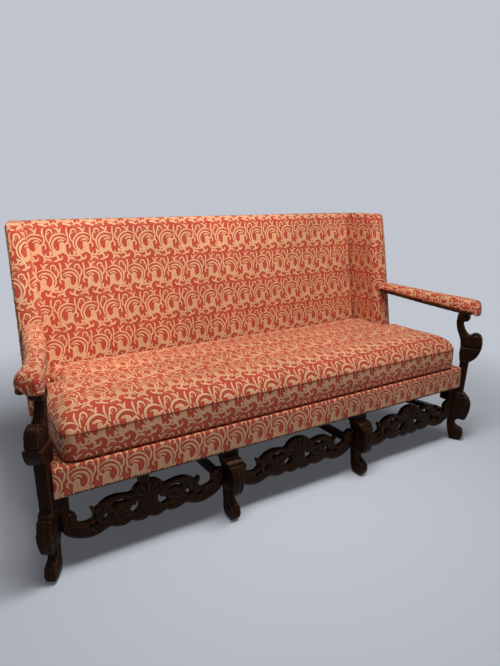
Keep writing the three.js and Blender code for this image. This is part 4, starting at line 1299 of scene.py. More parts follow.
@dataclass
class ArmPads:
    """The stuffed arms, their cloth drawn tight over the rails and gathered at the nose."""

    finishes: Finishes
    voxel: float = 5 * MM
    corner_easing: int = 12
    pressure: float = 5.0
    shrink: float = 1 * MM
    cap: float = 3 * MM
    fill: float = 0.9
    girth_radius: float = 40 * MM
    sections: int = 12
    nose_length: float = 70 * MM
    # Faces that look forward more than this belong to the nose.
    nose_facing: float = 0.55
    # The fine and the broad pleats, and the wave in which they lie.
    fine_pleat: float = 11 * MM
    broad_pleat: float = 29 * MM
    pleat_depth: float = 1.2 * MM
    pleat_waver: tuple[float, float] = (6 * MM, 4 * MM)
    # How much longer the cloth is than the arm that it is gathered onto.
    gathering: float = 1.5

    def build(self) -> None:
        """Builds both arms' pads."""
        for side in Side:
            self.pad(side)

    def middle_line(self, points: np.ndarray) -> tuple[np.ndarray, np.ndarray]:
        """Finds the line through the middle of an arm's sections.

        Args:
            points: The arm's points.

        Returns:
            Places along Y, and the X and Z of the middle at each.
        """
        edges = np.linspace(points[:, 1].min(), points[:, 1].max(), self.sections + 1)
        slices = [points[(points[:, 1] >= a) & (points[:, 1] <= b)]
                  for a, b in zip(edges, edges[1:])]
        middles = [[(c[:, 0].min() + c[:, 0].max()) / 2, (c[:, 2].min() + c[:, 2].max()) / 2]
                   for c in slices]
        return (edges[:-1] + edges[1:]) / 2, np.array(middles)

    def wrinkle(self, pad: bpy.types.Object) -> None:
        """Draws the cloth into small pleats across the arm, most of all at its nose.

        The pleats waver every 105 mm across the arm and every 70 mm of its height.

        Args:
            pad: The arm's pad.
        """
        points = coordinates(pad.data)
        x, y, z = points.T
        nose = np.exp(-(y - y.min()) / self.nose_length)
        waver = self.pleat_waver[0] * np.sin(x * 60.0) + self.pleat_waver[1] * np.sin(z * 90.0)
        lie = (y + 0.25 * np.abs(x) + waver) * math.tau
        pleat = np.sin(lie / self.fine_pleat) + 0.6 * np.sin(lie / self.broad_pleat)
        depth = pleat * (0.45 + 0.9 * nose) * self.pleat_depth
        set_coordinates(pad.data, points + vertex_normals(pad.data) * depth[:, None])

    def pad(self, side: Side) -> None:
        """Builds one arm's pad.

        Args:
            side: The end of the settee.
        """

        def on_arm(points: np.ndarray, normals: np.ndarray) -> np.ndarray:
            """Lays the cloth along the arm and round its section.

            Args:
                points: The arm's corner points.
                normals: The normals of their faces.

            Returns:
                Places across and up the cloth.
            """
            x, y, z = points.T
            middle_x = np.interp(y, stations, middles[:, 0])
            middle_z = np.interp(y, stations, middles[:, 1])
            turn = np.arctan2((x - middle_x) * side.value, z - middle_z)
            nose = (normals[:, 1] < -self.nose_facing) & (y < y.min() + self.nose_length)
            return np.column_stack([np.where(nose, x, turn * self.girth_radius),
                                    np.where(nose, z, y * self.gathering)])

        node = f"arm_pad_{side.label}"
        pad = copy_of(f"arm_cloth_{side.label}", node)
        remesh(pad, self.voxel, smoothing=self.corner_easing)
        stuff(pad, self.pressure, self.shrink, self.cap)
        subdivide(pad)
        stations, middles = self.middle_line(coordinates(pad.data))
        self.wrinkle(pad)
        shade_smooth(pad)
        lay_cloth(pad, on_arm)
        dress(pad, self.finishes.damask, [node])


@dataclass
class SeatUpholstery:
    """The stuffed seat edge, the deck under the cushion and the dark lining below."""

    finishes: Finishes
    voxel: float = 5 * MM
    deck_voxel: float = 12 * MM
    corner_easing: int = 2
    fill: float = 0.9
    # Faces that look along X more than this are the ends of the seat.
    end_facing: float = 0.8
    lining_sag: float = 4 * MM
    # Edges longer than this are cut into five.
    lining_edge: float = 90 * MM
    lining_cuts: int = 4

    def build(self) -> None:
        """Builds the borders, the deck and the lining."""
        for name in ("front", *(s.label for s in Side)):
            node = f"seat_border_{name}"
            border = copy_of(f"seat_edge_{name}", node)
            remesh(border, self.voxel, smoothing=self.corner_easing, tight_to=node)
            shade_smooth(border)
            lay_cloth(border, self.on_border)
            dress(border, self.finishes.damask, [node])
        deck = copy_of("deck_cloth", "seat_deck")
        remesh(deck, self.deck_voxel, smoothing=self.corner_easing)
        shade_smooth(deck)
        lay_cloth(deck, lambda p, n: np.column_stack([p[:, 0], p[:, 1] + p[:, 2]]))
        dress(deck, self.finishes.damask, ["seat_deck"])
        self.lining()

    def on_border(self, points: np.ndarray, normals: np.ndarray) -> np.ndarray:
        """Lays the cloth upright along the front and the ends of the seat.

        Args:
            points: The border's corner points.
            normals: The normals of their faces.

        Returns:
            Places across and up the cloth.
        """
        x, y, z = points.T
        end = np.abs(normals[:, 0]) > self.end_facing
        return np.column_stack([np.where(end, y, x), z])

    def lining(self) -> None:
        """Builds the black lining cloth from the underside of its solid, sagging a little."""
        node = "dust_cover"
        low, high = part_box(node)
        under = copy_of("seat_lining", node)
        work = bmesh.new()
        work.from_mesh(under.data)
        upper = [f for f in work.faces if f.normal.z > -0.5]
        bmesh.ops.delete(work, geom=upper, context="FACES")
        bmesh.ops.triangulate(work, faces=work.faces)
        long_edges = [e for e in work.edges if e.calc_length() > self.lining_edge]
        bmesh.ops.subdivide_edges(work, edges=long_edges, cuts=self.lining_cuts,
                                  use_grid_fill=True)
        work.to_mesh(under.data)
        work.free()
        size = high - low
        points = coordinates(under.data)
        along = np.cos(points[:, 0] / size.x * math.pi)
        deep = np.cos((points[:, 1] - low.y - size.y / 2) / size.y * math.pi)
        points[:, 2] -= np.clip(along * deep, 0, 1) * self.lining_sag
        set_coordinates(under.data, points)
        shade_smooth(under)
        dress(under, self.finishes.cambric, [node])


@dataclass
class RailNails:
    """Close rows of small browned nails along the lower edge of the seat."""

    finishes: Finishes
    pitch: float = 9.5 * MM
    radius: float = 3.6 * MM
    proud: float = 2.0 * MM
    # The dome's shoulder: its share of the head's radius and of its height.
    shoulder: tuple[float, float] = (0.72, 0.62)
    sides: int = 8
    # How high the rows run over the cloth's lower edge, and how deep they press into it.
    height: float = 6 * MM
    press: float = 1.5 * MM
    # Where the rows start and stop, clear of the legs.
    front_margin: float = 46 * MM
    end_start: float = 60 * MM
    end_margins: float = 80 * MM
    # The ends run in towards the back, which turns their nails a little.
    end_taper: float = 64 * MM
    end_turn: float = 0.1

    def build(self) -> None:
        """Builds the rows on the front and both ends as one piece."""
        low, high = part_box("seat_border_front")
        places = []
        count = int((high.x - low.x - 2 * self.front_margin) / self.pitch)
        for i in range(count + 1):
            x = low.x + self.front_margin + i * self.pitch
            places.append((Vector((x, low.y + self.press, low.z + self.height)),
                           Vector((0, -1, 0))))
        for side in Side:
            a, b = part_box(f"seat_border_{side.label}")
            length = b.y - a.y
            outer = max(abs(a.x), abs(b.x))
            facing = Vector((side.value, self.end_turn, 0))
            for i in range(int((length - self.end_margins) / self.pitch) + 1):
                along = self.end_start + i * self.pitch
                x = (outer - self.end_taper * along / length) * side.value
                places.append((Vector((x, a.y + along, a.z + self.height)), facing))
        vertices, faces = [], []
        for centre, facing in places:
            self.nail(vertices, faces, centre, facing.normalized())
        nails = new_piece("rail_nails", vertices, faces)
        shade_smooth(nails)
        dress(nails, self.finishes.nail)

    def nail(
        self, vertices: list[Vector], faces: list[tuple], centre: Vector, facing: Vector
    ) -> None:
        """Adds one domed nail head.

        Args:
            vertices: The points so far.
            faces: The faces so far.
            centre: The middle of the head's rim.
            facing: The way the head faces.
        """
        across = facing.orthogonal().normalized()
        other = facing.cross(across)
        rim = len(vertices)
        for ring, rise in ((1.0, 0.0), self.shoulder):
            for k in range(self.sides):
                turn = math.tau * k / self.sides
                vertices.append(centre + facing * self.proud * rise + self.radius * ring * (
                    math.cos(turn) * across + math.sin(turn) * other))
        shoulder, crown = rim + self.sides, len(vertices)
        vertices.append(centre + facing * self.proud)
        for k in range(self.sides):
            after = (k + 1) % self.sides
            faces.append((rim + k, rim + after, shoulder + after, shoulder + k))
            faces.append((shoulder + k, shoulder + after, crown))
        faces.append(tuple(rim + k for k in reversed(range(self.sides))))


# Wood


@dataclass(frozen=True)
class SideScroll:
    """A spiral cut into both flanks of an upright, placed forward of its axis and up."""

    forward: float
    height: float
    radius: float
    depth: float


@dataclass(frozen=True)
class Upright:
    """A pair of carved uprights: where they stand, how they turn and what is cut in them.

    The turn is in degrees, outwards. A leaf and reeds have the heights that they span.
    """

    node: str
    out: float
    axis_y: float
    turn: float
    scrolls: tuple[SideScroll, ...]
    grooves: tuple[float, ...] = ()
    leaf: Optional[tuple[float, float]] = None
    reeds: Optional[tuple[float, float]] = None
    easing: int = 5


# The knee's scroll and the foot's.
LEG_SCROLLS = (SideScroll(forward=56 * MM, height=181 * MM, radius=38 * MM, depth=3.0 * MM),
               SideScroll(forward=40 * MM, height=36 * MM, radius=22 * MM, depth=2.6 * MM))
# The big scroll that stands on the leg's block, and the small one under the arm.
ARM_SCROLLS = (SideScroll(forward=73 * MM, height=524 * MM, radius=34 * MM, depth=3.6 * MM),
               SideScroll(forward=29 * MM, height=630 * MM, radius=13 * MM, depth=2.4 * MM))
UPRIGHTS = (
    Upright("front_leg_outer", out=973 * MM, axis_y=-340.3 * MM, turn=30.0,
            scrolls=LEG_SCROLLS, grooves=(238 * MM,), leaf=(128 * MM, 236 * MM)),
    Upright("front_leg_inner", out=325.6 * MM, axis_y=-344.8 * MM, turn=0.0,
            scrolls=LEG_SCROLLS, grooves=(238 * MM,), leaf=(128 * MM, 236 * MM)),
    Upright("arm_support", out=973 * MM, axis_y=-340.3 * MM, turn=30.0,
            scrolls=ARM_SCROLLS, grooves=(492 * MM,), reeds=(545 * MM, 614 * MM), easing=4),
)


@dataclass
class CarvedWalnut:
    """The show wood: legs, arm supports and pierced stretchers with rounded scroll work."""

    finishes: Finishes
    voxel: float = 2.6 * MM
    planed_voxel: float = 4 * MM
    # How far in from a stretcher's rim it is rounded, and how much thinner the rim gets.
    rounding: float = 12 * MM
    rim_thinning: float = 0.52
    # An edge is sharp where its faces' normals agree less than this.
    sharp: float = 0.6
    # An outline has one face that looks along Y less than the first, one more than the second.
    outline: tuple[float, float] = (0.3, 0.6)
    mark_step: float = 2 * MM
    # Each line that follows an edge: its distance from the edge and its depth.
    edge_lines: tuple[tuple[float, float], ...] = ((5.5 * MM, 2.2 * MM), (12.5 * MM, 1.6 * MM))
    line_width: float = 1.7 * MM
    # A spiral's line: its share of the gap between turns, and its fade at the rim.
    spiral_width: float = 0.16
    spiral_fade: float = 3 * MM
    # The eye that stands in a spiral's middle: its share of the radius and of the depth.
    eye_size: float = 0.25
    eye_rise: float = 0.3
    bay_middle: float = 649.3 * MM
    volute_offset: float = 263 * MM
    volute_height: float = 184 * MM
    volute_radius: float = 32 * MM
    volute_growth: float = 0.5
    volute_depth: float = 5.0 * MM
    # The shell on the crest, whose flutes spread from a root below its middle.
    crest_height: float = 196 * MM
    crest_root: float = 184 * MM
    crest_radius: float = 50 * MM
    crest_calm: float = 18 * MM
    crest_flutes: int = 13
    crest_depth: float = 4.5 * MM
    # The fan of leaf folds on each shoulder: how far out and how high its root is, how far
    # it reaches and opens in radians, and how its folds sweep.
    fan_out: float = 142 * MM
    fan_height: float = 108 * MM
    fan_reach: tuple[float, float] = (34 * MM, 104 * MM)
    fan_fade: float = 10 * MM
    fan_opening: tuple[float, float] = (1.5, 1.2)
    fan_folds: int = 19
    fan_sweep: float = 6.0
    fan_depth: float = 2.6 * MM
    groove_depth: float = 4.2 * MM
    groove_width: float = 3.0 * MM
    groove_start: float = 22 * MM
    # How far a face has to look aside, forward or along Y to be carved: none to full.
    flank_span: tuple[float, float] = (0.5, 0.8)
    front_span: tuple[float, float] = (0.2, 0.55)
    face_span: tuple[float, float] = (0.45, 0.65)
    # Leaves and reeds fade out at the ends of their span.
    span_fade: float = 7 * MM
    # A leaf lies sunk, and its veins deeper still, beside a rib that stands.
    rib_width: float = 3.5 * MM
    leaf_sink: float = 0.4
    vein_fall: float = 1.3
    vein_pitch: float = 15 * MM
    vein_depth: float = 2.2 * MM
    reed_pitch: float = 8 * MM
    reed_spread: float = 0.5
    reed_depth: float = 2.0 * MM
    # Openings between the strands: how far out, how high, half width, half height, tilt.
    openings: tuple[tuple[float, float, float, float, float], ...] = (
        (54 * MM, 154 * MM, 12 * MM, 15 * MM, 20.0),
        (152 * MM, 158 * MM, 7 * MM, 15 * MM, -38.0),
        (196 * MM, 142 * MM, 4 * MM, 12 * MM, -60.0))
    opening_sides: int = 20
    opening_reach: float = 60 * MM
    foot_height: float = 92 * MM
    foot_easing: int = 9
    easing_fade: float = 20 * MM
    foot_swell: float = 2.2 * MM
    swell_fade: float = 30 * MM

    def build(self) -> None:
        """Builds every piece of show wood."""
        for bay in BAYS:
            self.pierced(f"front_stretcher_{bay}")
        for side in Side:
            for upright in UPRIGHTS:
                self.rounded(upright, side)
            self.planed(f"arm_rail_{side.label}", self.finishes.walnut_deep)
            for row in ("inner", "outer"):
                self.planed(f"back_post_{row}_{side.label}", self.finishes.walnut_upright)
                self.planed(f"side_stretcher_{row}_{side.label}", self.finishes.walnut_deep)
        for bay in BAYS:
            self.planed(f"rear_stretcher_{bay}", self.finishes.walnut_long)
        self.planed("stretcher_block_left", self.finishes.walnut_long)

    def planed(self, node: str, material: bpy.types.Material) -> None:
        """Builds one plain planed piece, its edges eased by hand.

        Args:
            node: The CAD node.
            material: Its finish.
        """
        piece = copy_of(f"{node}_planed", node)
        remesh(piece, self.planed_voxel, smoothing=1, tight_to=node)
        shade_smooth(piece)
        dress(piece, material, [node])

    def sharp_edges(self, shape: bpy.types.Mesh, flat: bool) -> KDTree:
        """Collects points along a shape's sharp edges.

        Args:
            shape: The mesh of the plain sawn piece.
            flat: Whether only the outlines of faces that look along Y count, with their
                depth dropped.

        Returns:
            A search tree of the points.
        """
        source = bmesh.new()
        source.from_mesh(shape)
        bmesh.ops.remove_doubles(source, verts=source.verts, dist=WELD)
        marks: list[tuple[float, float, float]] = []
        for edge in source.edges:
            if len(edge.link_faces) != 2:
                continue
            first, second = (f.normal for f in edge.link_faces)
            if flat:
                facing = sorted((abs(first.y), abs(second.y)))
                sharp = facing[0] < self.outline[0] and facing[1] > self.outline[1]
            else:
                sharp = first.dot(second) < self.sharp
            if not sharp:
                continue
            a, b = (v.co for v in edge.verts)
            steps = max(1, int((b - a).length / self.mark_step))
            for i in range(steps + 1):
                point = a.lerp(b, i / steps)
                marks.append((point.x, 0.0 if flat else point.y, point.z))
        source.free()
        tree = KDTree(len(marks))
        for i, mark in enumerate(marks):
            tree.insert(mark, i)
        tree.balance()
        return tree

    def incised(self, inset: np.ndarray) -> np.ndarray:
        """Works out the depth of the lines that follow every edge.

        Args:
            inset: Distances from the nearest edge.

        Returns:
            The depth at each distance.
        """
        return sum(depth * np.exp(-(((inset - place) / self.line_width) ** 2))
                   for place, depth in self.edge_lines)

    def spiral(
        self, away: np.ndarray, up: np.ndarray, radius: float, depth: float
    ) -> np.ndarray:
        """Works out how deep a scroll's spiral is cut, with its eye left standing.

        Args:
            away: Places across the scroll from its middle.
            up: Places up the scroll from its middle.
            radius: The scroll's radius.
            depth: How deep its line is cut.

        Returns:
            The depth at each place.
        """
        reach = np.hypot(away, up)
        turn = np.arctan2(up, away) / math.tau
        wound = np.log(np.maximum(reach, 1 * MM) / radius) / math.log(self.volute_growth)
        off = turn - wound - np.round(turn - wound)
        line = depth * np.exp(-((off / self.spiral_width) ** 2))
        line *= np.clip((radius - reach) / self.spiral_fade, 0, 1)
        eye = radius * self.eye_size
        standing = -self.eye_rise * depth * (1 - (reach / eye) ** 2)
        return np.where(reach < eye, standing, line)

    def cuts(
        self, upright: Upright, side: Side, points: np.ndarray, normals: np.ndarray
    ) -> np.ndarray:
        """Works out how deep an upright's carving is at each of its points.

        Args:
            upright: The kind of upright.
            side: The end of the settee.
            points: The upright's points.
            normals: Their normals.

        Returns:
            The depth at each point.
        """
        angle = math.radians(upright.turn)
        forward = np.array((side.value * math.sin(angle), -math.cos(angle)))
        sideways = np.array((math.cos(angle), side.value * math.sin(angle)))
        place = points[:, :2] - (upright.out * side.value, upright.axis_y)
        ahead, aside, height = place @ forward, place @ sideways, points[:, 2]
        flank = ramp(np.abs(normals[:, :2] @ sideways), self.flank_span)
        face = ramp(normals[:, :2] @ forward, self.front_span)
        depth = np.zeros(len(points))
        for scroll in upright.scrolls:
            depth += flank * self.spiral(ahead - scroll.forward, height - scroll.height,
                                         scroll.radius, scroll.depth)
        for groove in upright.grooves:
            near = np.exp(-(((height - groove) / self.groove_width) ** 2))
            depth += self.groove_depth * near * (ahead > self.groove_start)
        for span, fold in ((upright.leaf, self.veins), (upright.reeds, self.reeds)):
            if span:
                inside = np.minimum(height - span[0], span[1] - height) / self.span_fade
                depth += face * np.clip(inside, 0, 1) * fold(aside, height)
        return depth

    def veins(self, aside: np.ndarray, height: np.ndarray) -> np.ndarray:
        """Works out the depth of a leaf's veins, which fall away from its middle rib.

        Args:
            aside: Places across the leaf.
            height: Heights.

        Returns:
            The depth at each place.
        """
        rib = 1 - np.exp(-((aside / self.rib_width) ** 2))
        fall = (height - self.vein_fall * np.abs(aside)) * math.tau / self.vein_pitch
        return rib * self.vein_depth * (self.leaf_sink + furrow(fall))

    def reeds(self, aside: np.ndarray, height: np.ndarray) -> np.ndarray:
        """Works out the depth of the hollows between reeds, which spread as they rise.

        Args:
            aside: Places across the reeds.
            height: Heights.

        Returns:
            The depth at each place.
        """
        spread = 1 + (height - height.min()) * self.reed_spread
        return self.reed_depth * furrow(aside / spread * math.tau / self.reed_pitch)

    def rounded(self, upright: Upright, side: Side) -> None:
        """Builds one carved upright: corners rubbed round, lines cut along its edges.

        Args:
            upright: The kind of upright.
            side: The end of the settee.
        """
        node = f"{upright.node}_{side.label}"
        edges = self.sharp_edges(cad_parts[node].data, flat=False)
        piece = copy_of(f"{node}_carved", node)
        remesh(piece, self.voxel, smoothing=upright.easing)
        self.ease_foot(piece)
        points, normals = coordinates(piece.data), vertex_normals(piece.data)
        inset = np.array([edges.find(p)[2] for p in points])
        sink = self.incised(inset) + self.cuts(upright, side, points, normals)
        set_coordinates(piece.data, points - normals * sink[:, None])
        shade_smooth(piece)
        dress(piece, self.finishes.walnut_upright, [node])

    def ease_foot(self, piece: bpy.types.Object) -> None:
        """Rounds the scroll foot of an upright that stands on the floor.

        Args:
            piece: The upright.
        """
        points = coordinates(piece.data)
        if points[:, 2].min() > self.foot_height:
            return
        floor = points[:, 2].min()
        group = piece.vertex_groups.new(name="foot")
        for i, height in enumerate(points[:, 2]):
            share = min(1.0, max(0.0, (self.foot_height - height) / self.easing_fade))
            if share:
                group.add([i], share, "REPLACE")
        eased = piece.modifiers.new("eased", "SMOOTH")
        eased.vertex_group = "foot"
        eased.iterations = self.foot_easing
        apply_modifiers(piece)
        points, normals = coordinates(piece.data), vertex_normals(piece.data)
        full = np.clip((self.foot_height - points[:, 2]) / self.swell_fade, 0, 1)
        points += normals * full[:, None] * self.foot_swell
        lift = points[:, 2].min() - floor
        low = np.clip((self.foot_height - points[:, 2]) / self.foot_height, 0, 1)
        points[:, 2] -= lift * low
        set_coordinates(piece.data, points)

    def open_up(self, piece: bpy.types.Object, middle: Vector) -> None:
        """Cuts the openings between a stretcher's strands.

        Args:
            piece: The stretcher's copy.
            middle: The middle of the stretcher.
        """
        cutters = bmesh.new()
        for out, height, wide, tall, tilt in self.openings:
            for side in Side:
                turn = Matrix.Rotation(math.radians(tilt) * side.value, 4, "Y")
                place = Matrix.Translation((middle.x + out * side.value, middle.y, height))
                shape = place @ turn @ Matrix.Diagonal((wide, self.opening_reach, tall, 1))
                along_y = Matrix.Rotation(math.pi / 2, 4, "X")
                bmesh.ops.create_cone(cutters, cap_ends=True, segments=self.opening_sides,
                                      radius1=1, radius2=1, depth=2, matrix=shape @ along_y)
        mesh = bpy.data.meshes.new("cutters")
        cutters.to_mesh(mesh)
        cutters.free()
        cutter = bpy.data.objects.new("cutters", mesh)
        bpy.context.scene.collection.objects.link(cutter)
        cut = piece.modifiers.new("openings", "BOOLEAN")
        cut.operation = "DIFFERENCE"
        cut.solver = "EXACT"
        cut.object = cutter
        apply_modifiers(piece)
        bpy.data.objects.remove(cutter)

    def ornament(self, x: np.ndarray, z: np.ndarray) -> np.ndarray:
        """Works out how deep the volutes, the shell and the leaf folds are cut.

        Args:
            x: Places along the stretcher, from its middle.
            z: Heights.

        Returns:
            The depth at each place.
        """
        out = np.abs(x)
        depth = self.spiral(out - self.volute_offset, z - self.volute_height,
                            self.volute_radius, self.volute_depth)
        reach = np.hypot(x, z - self.crest_height)
        flute = furrow(np.arctan2(x, z - self.crest_root) * self.crest_flutes)
        shell = (reach < self.crest_radius) & (z > self.crest_root)
        depth += shell * self.crest_depth * flute * np.minimum(1.0, reach / self.crest_calm)
        across, up = out - self.fan_out, z - self.fan_height
        reach, turn = np.hypot(across, up), np.arctan2(across, up)
        near, far = self.fan_reach
        inside = np.clip(np.minimum(reach - near, far - reach) / self.fan_fade, 0, 1)
        inside *= ramp(np.abs(turn), self.fan_opening) * ~shell
        swept = turn + reach * self.fan_sweep
        return depth + inside * self.fan_depth * furrow(swept * self.fan_folds)

    def pierced(self, node: str) -> None:
        """Builds one pierced stretcher, its strands rounded, lined and carved.

        Args:
            node: The CAD node.
        """
        low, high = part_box(node)
        middle_x, middle_y = (low.x + high.x) / 2, (low.y + high.y) / 2
        if abs(middle_x) > self.bay_middle / 2:
            middle_x = math.copysign(self.bay_middle, middle_x)
        piece = copy_of(f"{node}_carved", node)
        self.open_up(piece, Vector((middle_x, middle_y, 0)))
        rim = self.sharp_edges(piece.data, flat=True)
        remesh(piece, self.voxel, smoothing=1)
        points, normals = coordinates(piece.data), vertex_normals(piece.data)
        inset = np.array([rim.find((x, 0, z))[2] for x, _, z in points])
        rounder = 1 - self.rim_thinning * np.clip(1 - inset / self.rounding, 0, 1) ** 2
        points[:, 1] = middle_y + (points[:, 1] - middle_y) * rounder
        sink = self.incised(inset) + self.ornament(points[:, 0] - middle_x, points[:, 2])
        faces = ramp(np.abs(normals[:, 1]), self.face_span) * np.sign(normals[:, 1])
        points[:, 1] -= sink * faces
        set_coordinates(piece.data, points)
        eased = piece.modifiers.new("eased", "SMOOTH")
        eased.iterations = 1
        apply_modifiers(piece)
        shade_smooth(piece)
        dress(piece, self.finishes.walnut_long, [node])


@dataclass
class HiddenFrame:
    """What the upholstery hides and is nailed to: beech rails and wing frames."""

    finishes: Finishes

    def build(self) -> None:
        """Dresses the hidden nodes."""
        nodes = ["front_seat_rail", "back_seat_rail", "back_top_rail"]
        nodes += [f"back_lower_rail_{bay}" for bay in BAYS]
        for side in Side:
            nodes += [f"{kind}_{side.label}"
                      for kind in ("side_seat_rail", "seat_cross_rail", "wing_frame")]
        for node in nodes:
            dress_node(node, self.finishes.beech)


@dataclass
class SprungSeat:
    """The jute web of the seat's three bays and the coil springs that stand on it."""

    finishes: Finishes
    web_width: float = 52 * MM
    web_thickness: float = 1.0 * MM
    # How far a strap rises and falls as it passes over and under the others.
    weave: float = 1.0 * MM
    straps_deep: int = 4
    straps_long: int = 5
    strap_step: float = 9 * MM
    springs_long: int = 3
    springs_deep: int = 3
    end_radius: float = 38.5 * MM
    waist_radius: float = 25 * MM
    # One gives straight cones, and more a longer waist.
    waist_curve: float = 1.2
    wire_radius: float = 1.9 * MM
    wire_sides: int = 6
    turns: float = 5.0
    # How much of a turn lies flat at each end.
    flat_turns: float = 0.8
    points_a_turn: int = 14

    def build(self) -> None:
        """Builds the web and the springs of every bay."""
        for bay in BAYS:
            self.web(bay)
            self.springs(bay)

    def spaced(self, low: float, high: float, count: int) -> list[float]:
        """Works out the middles of equal shares of a span.

        Args:
            low: The span's lower end.
            high: Its upper end.
            count: The number of shares.

        Returns:
            The middle of each share.
        """
        return [low + (i + 0.5) * (high - low) / count for i in range(count)]

    def web(self, bay: str) -> None:
        """Weaves one bay's straps over and under each other.

        Args:
            bay: The bay's name.
        """
        node = f"seat_webbing_{bay}"
        low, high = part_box(node)
        middle = (low.z + high.z) / 2
        vertices: list[Vector] = []
        faces: list[tuple[int, ...]] = []
        # First the straps that run along Y, then those along X.
        runs = ((0, 1, self.straps_deep, self.straps_long, 1),
                (1, 0, self.straps_long, self.straps_deep, -1))
        for across, along, count, crossings, over in runs:
            pitch = (high[along] - low[along]) / crossings
            steps = int((high[along] - low[along]) / self.strap_step)
            for number, place in enumerate(self.spaced(low[across], high[across], count)):
                start = len(vertices)
                for i in range(steps + 1):
                    run = low[along] + (high[along] - low[along]) * i / steps
                    phase = math.pi * ((run - low[along]) / pitch - 0.5 + number)
                    level = middle + over * self.weave * math.cos(phase)
                    for edge, face in ((-1, -1), (1, -1), (1, 1), (-1, 1)):
                        corner = Vector((0, 0, level + face * self.web_thickness / 2))
                        corner[across] = place + edge * self.web_width / 2
                        corner[along] = run
                        vertices.append(corner)
                for i in range(steps):
                    a = start + 4 * i
                    faces += [(a + k, a + (k + 1) % 4, a + 4 + (k + 1) % 4, a + 4 + k)
                              for k in range(4)]
                last = start + 4 * steps
                faces += [(start + 3, start + 2, start + 1, start),
                          (last, last + 1, last + 2, last + 3)]
        straps = new_piece(f"web_straps_{bay}", vertices, faces)
        self.face_outward(straps)
        dress(straps, self.finishes.jute, [node])

    def face_outward(self, piece: bpy.types.Object) -> None:
        """Turns every face of a piece to look out of it.

        Args:
            piece: The piece to turn right side out.
        """
        work = bmesh.new()
        work.from_mesh(piece.data)
        bmesh.ops.recalc_face_normals(work, faces=work.faces)
        work.to_mesh(piece.data)
        work.free()

    def coil(self, height: float) -> list[Vector]:
        """Works out the middle line of one hourglass spring, its end rings lying flat.

        Args:
            height: The spring's height.

        Returns:
            The points of the line, from the web up.
        """
        count = int(self.turns * self.points_a_turn)
        flat = self.flat_turns / self.turns
        line = []
        for i in range(count + 1):
            share = i / count
            rise = min(1.0, max(0.0, (share - flat) / (1 - 2 * flat)))
            wide = abs(2 * rise - 1) ** self.waist_curve
            radius = self.waist_radius + (self.end_radius - self.waist_radius) * wide
            turn = math.tau * self.turns * share
            line.append(Vector((radius * math.cos(turn), radius * math.sin(turn),
                                self.wire_radius + (height - 2 * self.wire_radius) * rise)))
        return line

    def springs(self, bay: str) -> None:
        """Stands one bay's springs on its web.

        Args:
            bay: The bay's name.
        """
        node = f"seat_springs_{bay}"
        low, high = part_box(node)
        one = tube("one_spring", self.coil(high.z - low.z), self.wire_radius, self.wire_sides)
        shape = coordinates(one.data)
        rings = [tuple(face.vertices) for face in one.data.polygons]
        bpy.data.objects.remove(one)
        vertices: list[np.ndarray] = []
        faces: list[tuple[int, ...]] = []
        for x in self.spaced(low.x, high.x, self.springs_long):
            for y in self.spaced(low.y, high.y, self.springs_deep):
                start = len(vertices)
                vertices.extend(shape + (x, y, low.z))
                faces.extend(tuple(start + v for v in ring) for ring in rings)
        wound = new_piece(f"coil_springs_{bay}", vertices, faces)
        self.face_outward(wound)
        shade_smooth(wound)
        dress(wound, self.finishes.steel, [node])


# Studio


@dataclass(frozen=True)
class Lamp:
    """One soft lamp: where it hangs, what it points at, its two sides and its watts.

    The spread is the angle in degrees that its light opens to.
    """

    name: str
    place: tuple[float, float, float]
    target: tuple[float, float, float]
    size: tuple[float, float]
    power: float
    spread: float = 180.0


# One wide lamp lights everything, and three narrow ones make the photograph's bright pools.
LAMPS = (
    Lamp("overhead_softbox", (0.0, -0.75, 2.6), (-0.1, 0.1, 0.5), (2.3, 0.9), 54.0),
    Lamp("left_pool", (-0.75, -0.7, 2.0), (-1.0, 0.3, 0.85), (0.3, 0.3), 1.0, 60.0),
    Lamp("seat_pool", (-0.35, -0.35, 2.1), (-0.75, 0.25, 0.55), (0.2, 0.2), 0.35, 45.0),
    Lamp("back_pool", (0.0, -0.25, 2.0), (0.0, 0.4, 1.12), (0.2, 0.2), 0.35, 50.0),
)


